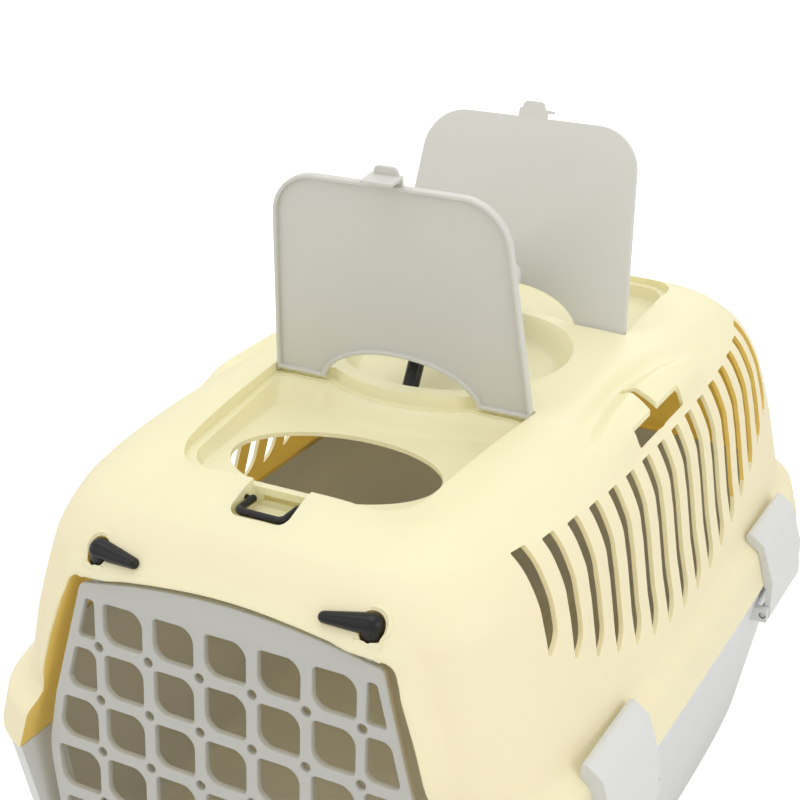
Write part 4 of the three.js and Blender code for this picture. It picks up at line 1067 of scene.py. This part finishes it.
# Grip: moulded in light grey polypropylene with rounded ends, and grooved along its underside. It
# is pressed over the flat top of the handle's rod.
def grip_outline(share):
    full_half, foot_rise, head_rise, corner = 17.5, 25, 40, 7
    half = full_half * (1 + share) / 2
    low = roof + foot_rise + (1 - share) * corner
    high = roof + head_rise - (1 - share) * corner
    curve = corner * share
    return rounded([
        (half, high, curve), (-half, high, curve), (-half, low, curve / 2), (half, low, curve / 2)], 8)


grip_reach, grip_rounding, grip_steps = 58, 7, 7
groove_half, groove_reach, groove_top = 5.4, 50, 36.9
rows = []
for side in (-1, 1):
    for step in (range(grip_steps + 1) if side < 0 else reversed(range(grip_steps + 1))):
        angle = math.pi / 2 * step / grip_steps
        share = 0.5 + 0.5 * math.sin(angle)
        y = middle + side * (grip_reach - grip_rounding * (1 - math.cos(angle)))
        rows.append([Vector((p.x, y, p.y)) for p in grip_outline(share)])
grip = solid(rows)
carve(grip, [block((-groove_half, middle - groove_reach, roof),
                   (groove_half, middle + groove_reach, roof + groove_top))])
finish_piece(grip, "grip_moulding", grey_look)
dress("handle_grip", grey_look)
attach(grip, "shell")
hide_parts("handle_grip")


# Handle rod: round steel bar, 9.6 mm thick, bent in one plane and coated black. Its two threaded
# feet pass through the floor of the hand bowl.
def smooth_path(knots, steps):
    knots = [Vector(knot) for knot in knots]
    path = [knots[0]]
    for place in range(len(knots) - 1):
        before = knots[max(place - 1, 0)]
        beyond = knots[min(place + 2, len(knots) - 1)]
        first, second = knots[place], knots[place + 1]
        for step in range(1, steps + 1):
            t = step / steps
            path.append(0.5 * (2 * first + (second - before) * t
                               + (2 * before - 5 * first + 4 * second - beyond) * t ** 2
                               + (3 * first - before - 3 * second + beyond) * t ** 3))
    return path


rod_radius = 4.8
half_rod = [(24, -31.5), (36, -30), (43, -23), (50.8, -8.8), (57.4, 2.3), (62, 10.5), (62, 18), (62, 27)]
knots = [(0, middle - reach, roof - drop) for reach, drop in reversed(half_rod)]
knots += [(0, middle + reach, roof - drop) for reach, drop in half_rod]
rod = solid(tube(smooth_path(knots, 6), rod_radius, 28))
finish_piece(rod, "bent_rod", black_look)
dress("handle_rod", black_look)
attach(rod, "shell")
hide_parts("handle_rod")


# Washers and nuts: zinc-plated steel, one of each on either foot of the rod, tightened up under the
# roof. They are the frame's own solids with their edges softened.
steel_look = plastic("zinc_steel", (180, 180, 178), roughness=0.35, grain=0.1)


def softened(name, piece, look, width):
    sharp, smooth = 30, 50
    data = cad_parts[name].data.copy()
    mesh = bmesh.new()
    mesh.from_mesh(data)
    bmesh.ops.remove_doubles(mesh, verts=mesh.verts, dist=1e-6)
    bmesh.ops.dissolve_limit(mesh, angle_limit=math.radians(1), verts=mesh.verts, edges=mesh.edges)
    mesh.to_mesh(data)
    mesh.free()
    thing = bpy.data.objects.new(piece, data)
    bpy.context.scene.collection.objects.link(thing)
    data.materials.clear()
    data.materials.append(look)
    soft = thing.modifiers.new("soft_edges", "BEVEL")
    soft.width = width
    soft.segments = 3
    soft.limit_method = "ANGLE"
    soft.angle_limit = math.radians(sharp)
    data.shade_smooth()
    data.set_sharp_from_angle(angle=math.radians(smooth))
    return thing


for end in ("front", "rear"):
    for kind, width in (("washer", 0.0002), ("nut", 0.0004)):
        node = "handle_" + kind + "_" + end
        fastener = softened(node, kind + "_" + end, steel_look, width)
        dress(node, steel_look)
        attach(fastener, "shell")
        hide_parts(node)


# Strap rings: loops moulded in black plastic, one in the pocket at each end of the roof, for a
# shoulder strap's hooks. Two stubs on each loop turn in the pocket's side walls.
loop_half, loop_reach, loop_corner, loop_radius = 13.2, 14.6, 3.5, 2.1
stub_start, stub_end, stub_thick = 13, 19.2, 1.4
knuckle = 2.15
for side, end in ((-1, "front"), (1, "rear")):
    y = middle + side * ring_reach
    z = roof - ring_drop
    corners = rounded([(-loop_half, y, 0), (-loop_half, y + side * loop_reach, loop_corner),
                       (loop_half, y + side * loop_reach, loop_corner), (loop_half, y, 0)], 8)
    loop = solid(tube([Vector((p.x, p.y, z)) for p in corners], loop_radius, 20))
    stubs = []
    for hand in (-1, 1):
        stubs.append(rod_mesh((hand * stub_end, y, z), (hand * stub_start, y, z), stub_thick, 20))
        stubs.append(ball_mesh((hand * loop_half, y, z), knuckle, 20, 12))
    carve(loop, stubs, "UNION")
    finish_piece(loop, "strap_loop_" + end, black_look, sharp=45)
    dress("strap_ring_" + end, black_look)
    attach(loop, "strap_ring_" + end)
    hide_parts("strap_ring_" + end)


# Side clips: light grey polypropylene, four in all, hinged in the base's lugs. Each snaps over the
# ledge of the roof's skirt. They are the frame's own solids with their edges softened.
for end in ("front", "rear"):
    for hand in ("left", "right"):
        node = "clip_" + end + "_" + hand
        clip = softened(node, "side_" + node, grey_look, 0.0006)
        dress(node, grey_look)
        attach(clip, node)
        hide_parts(node)
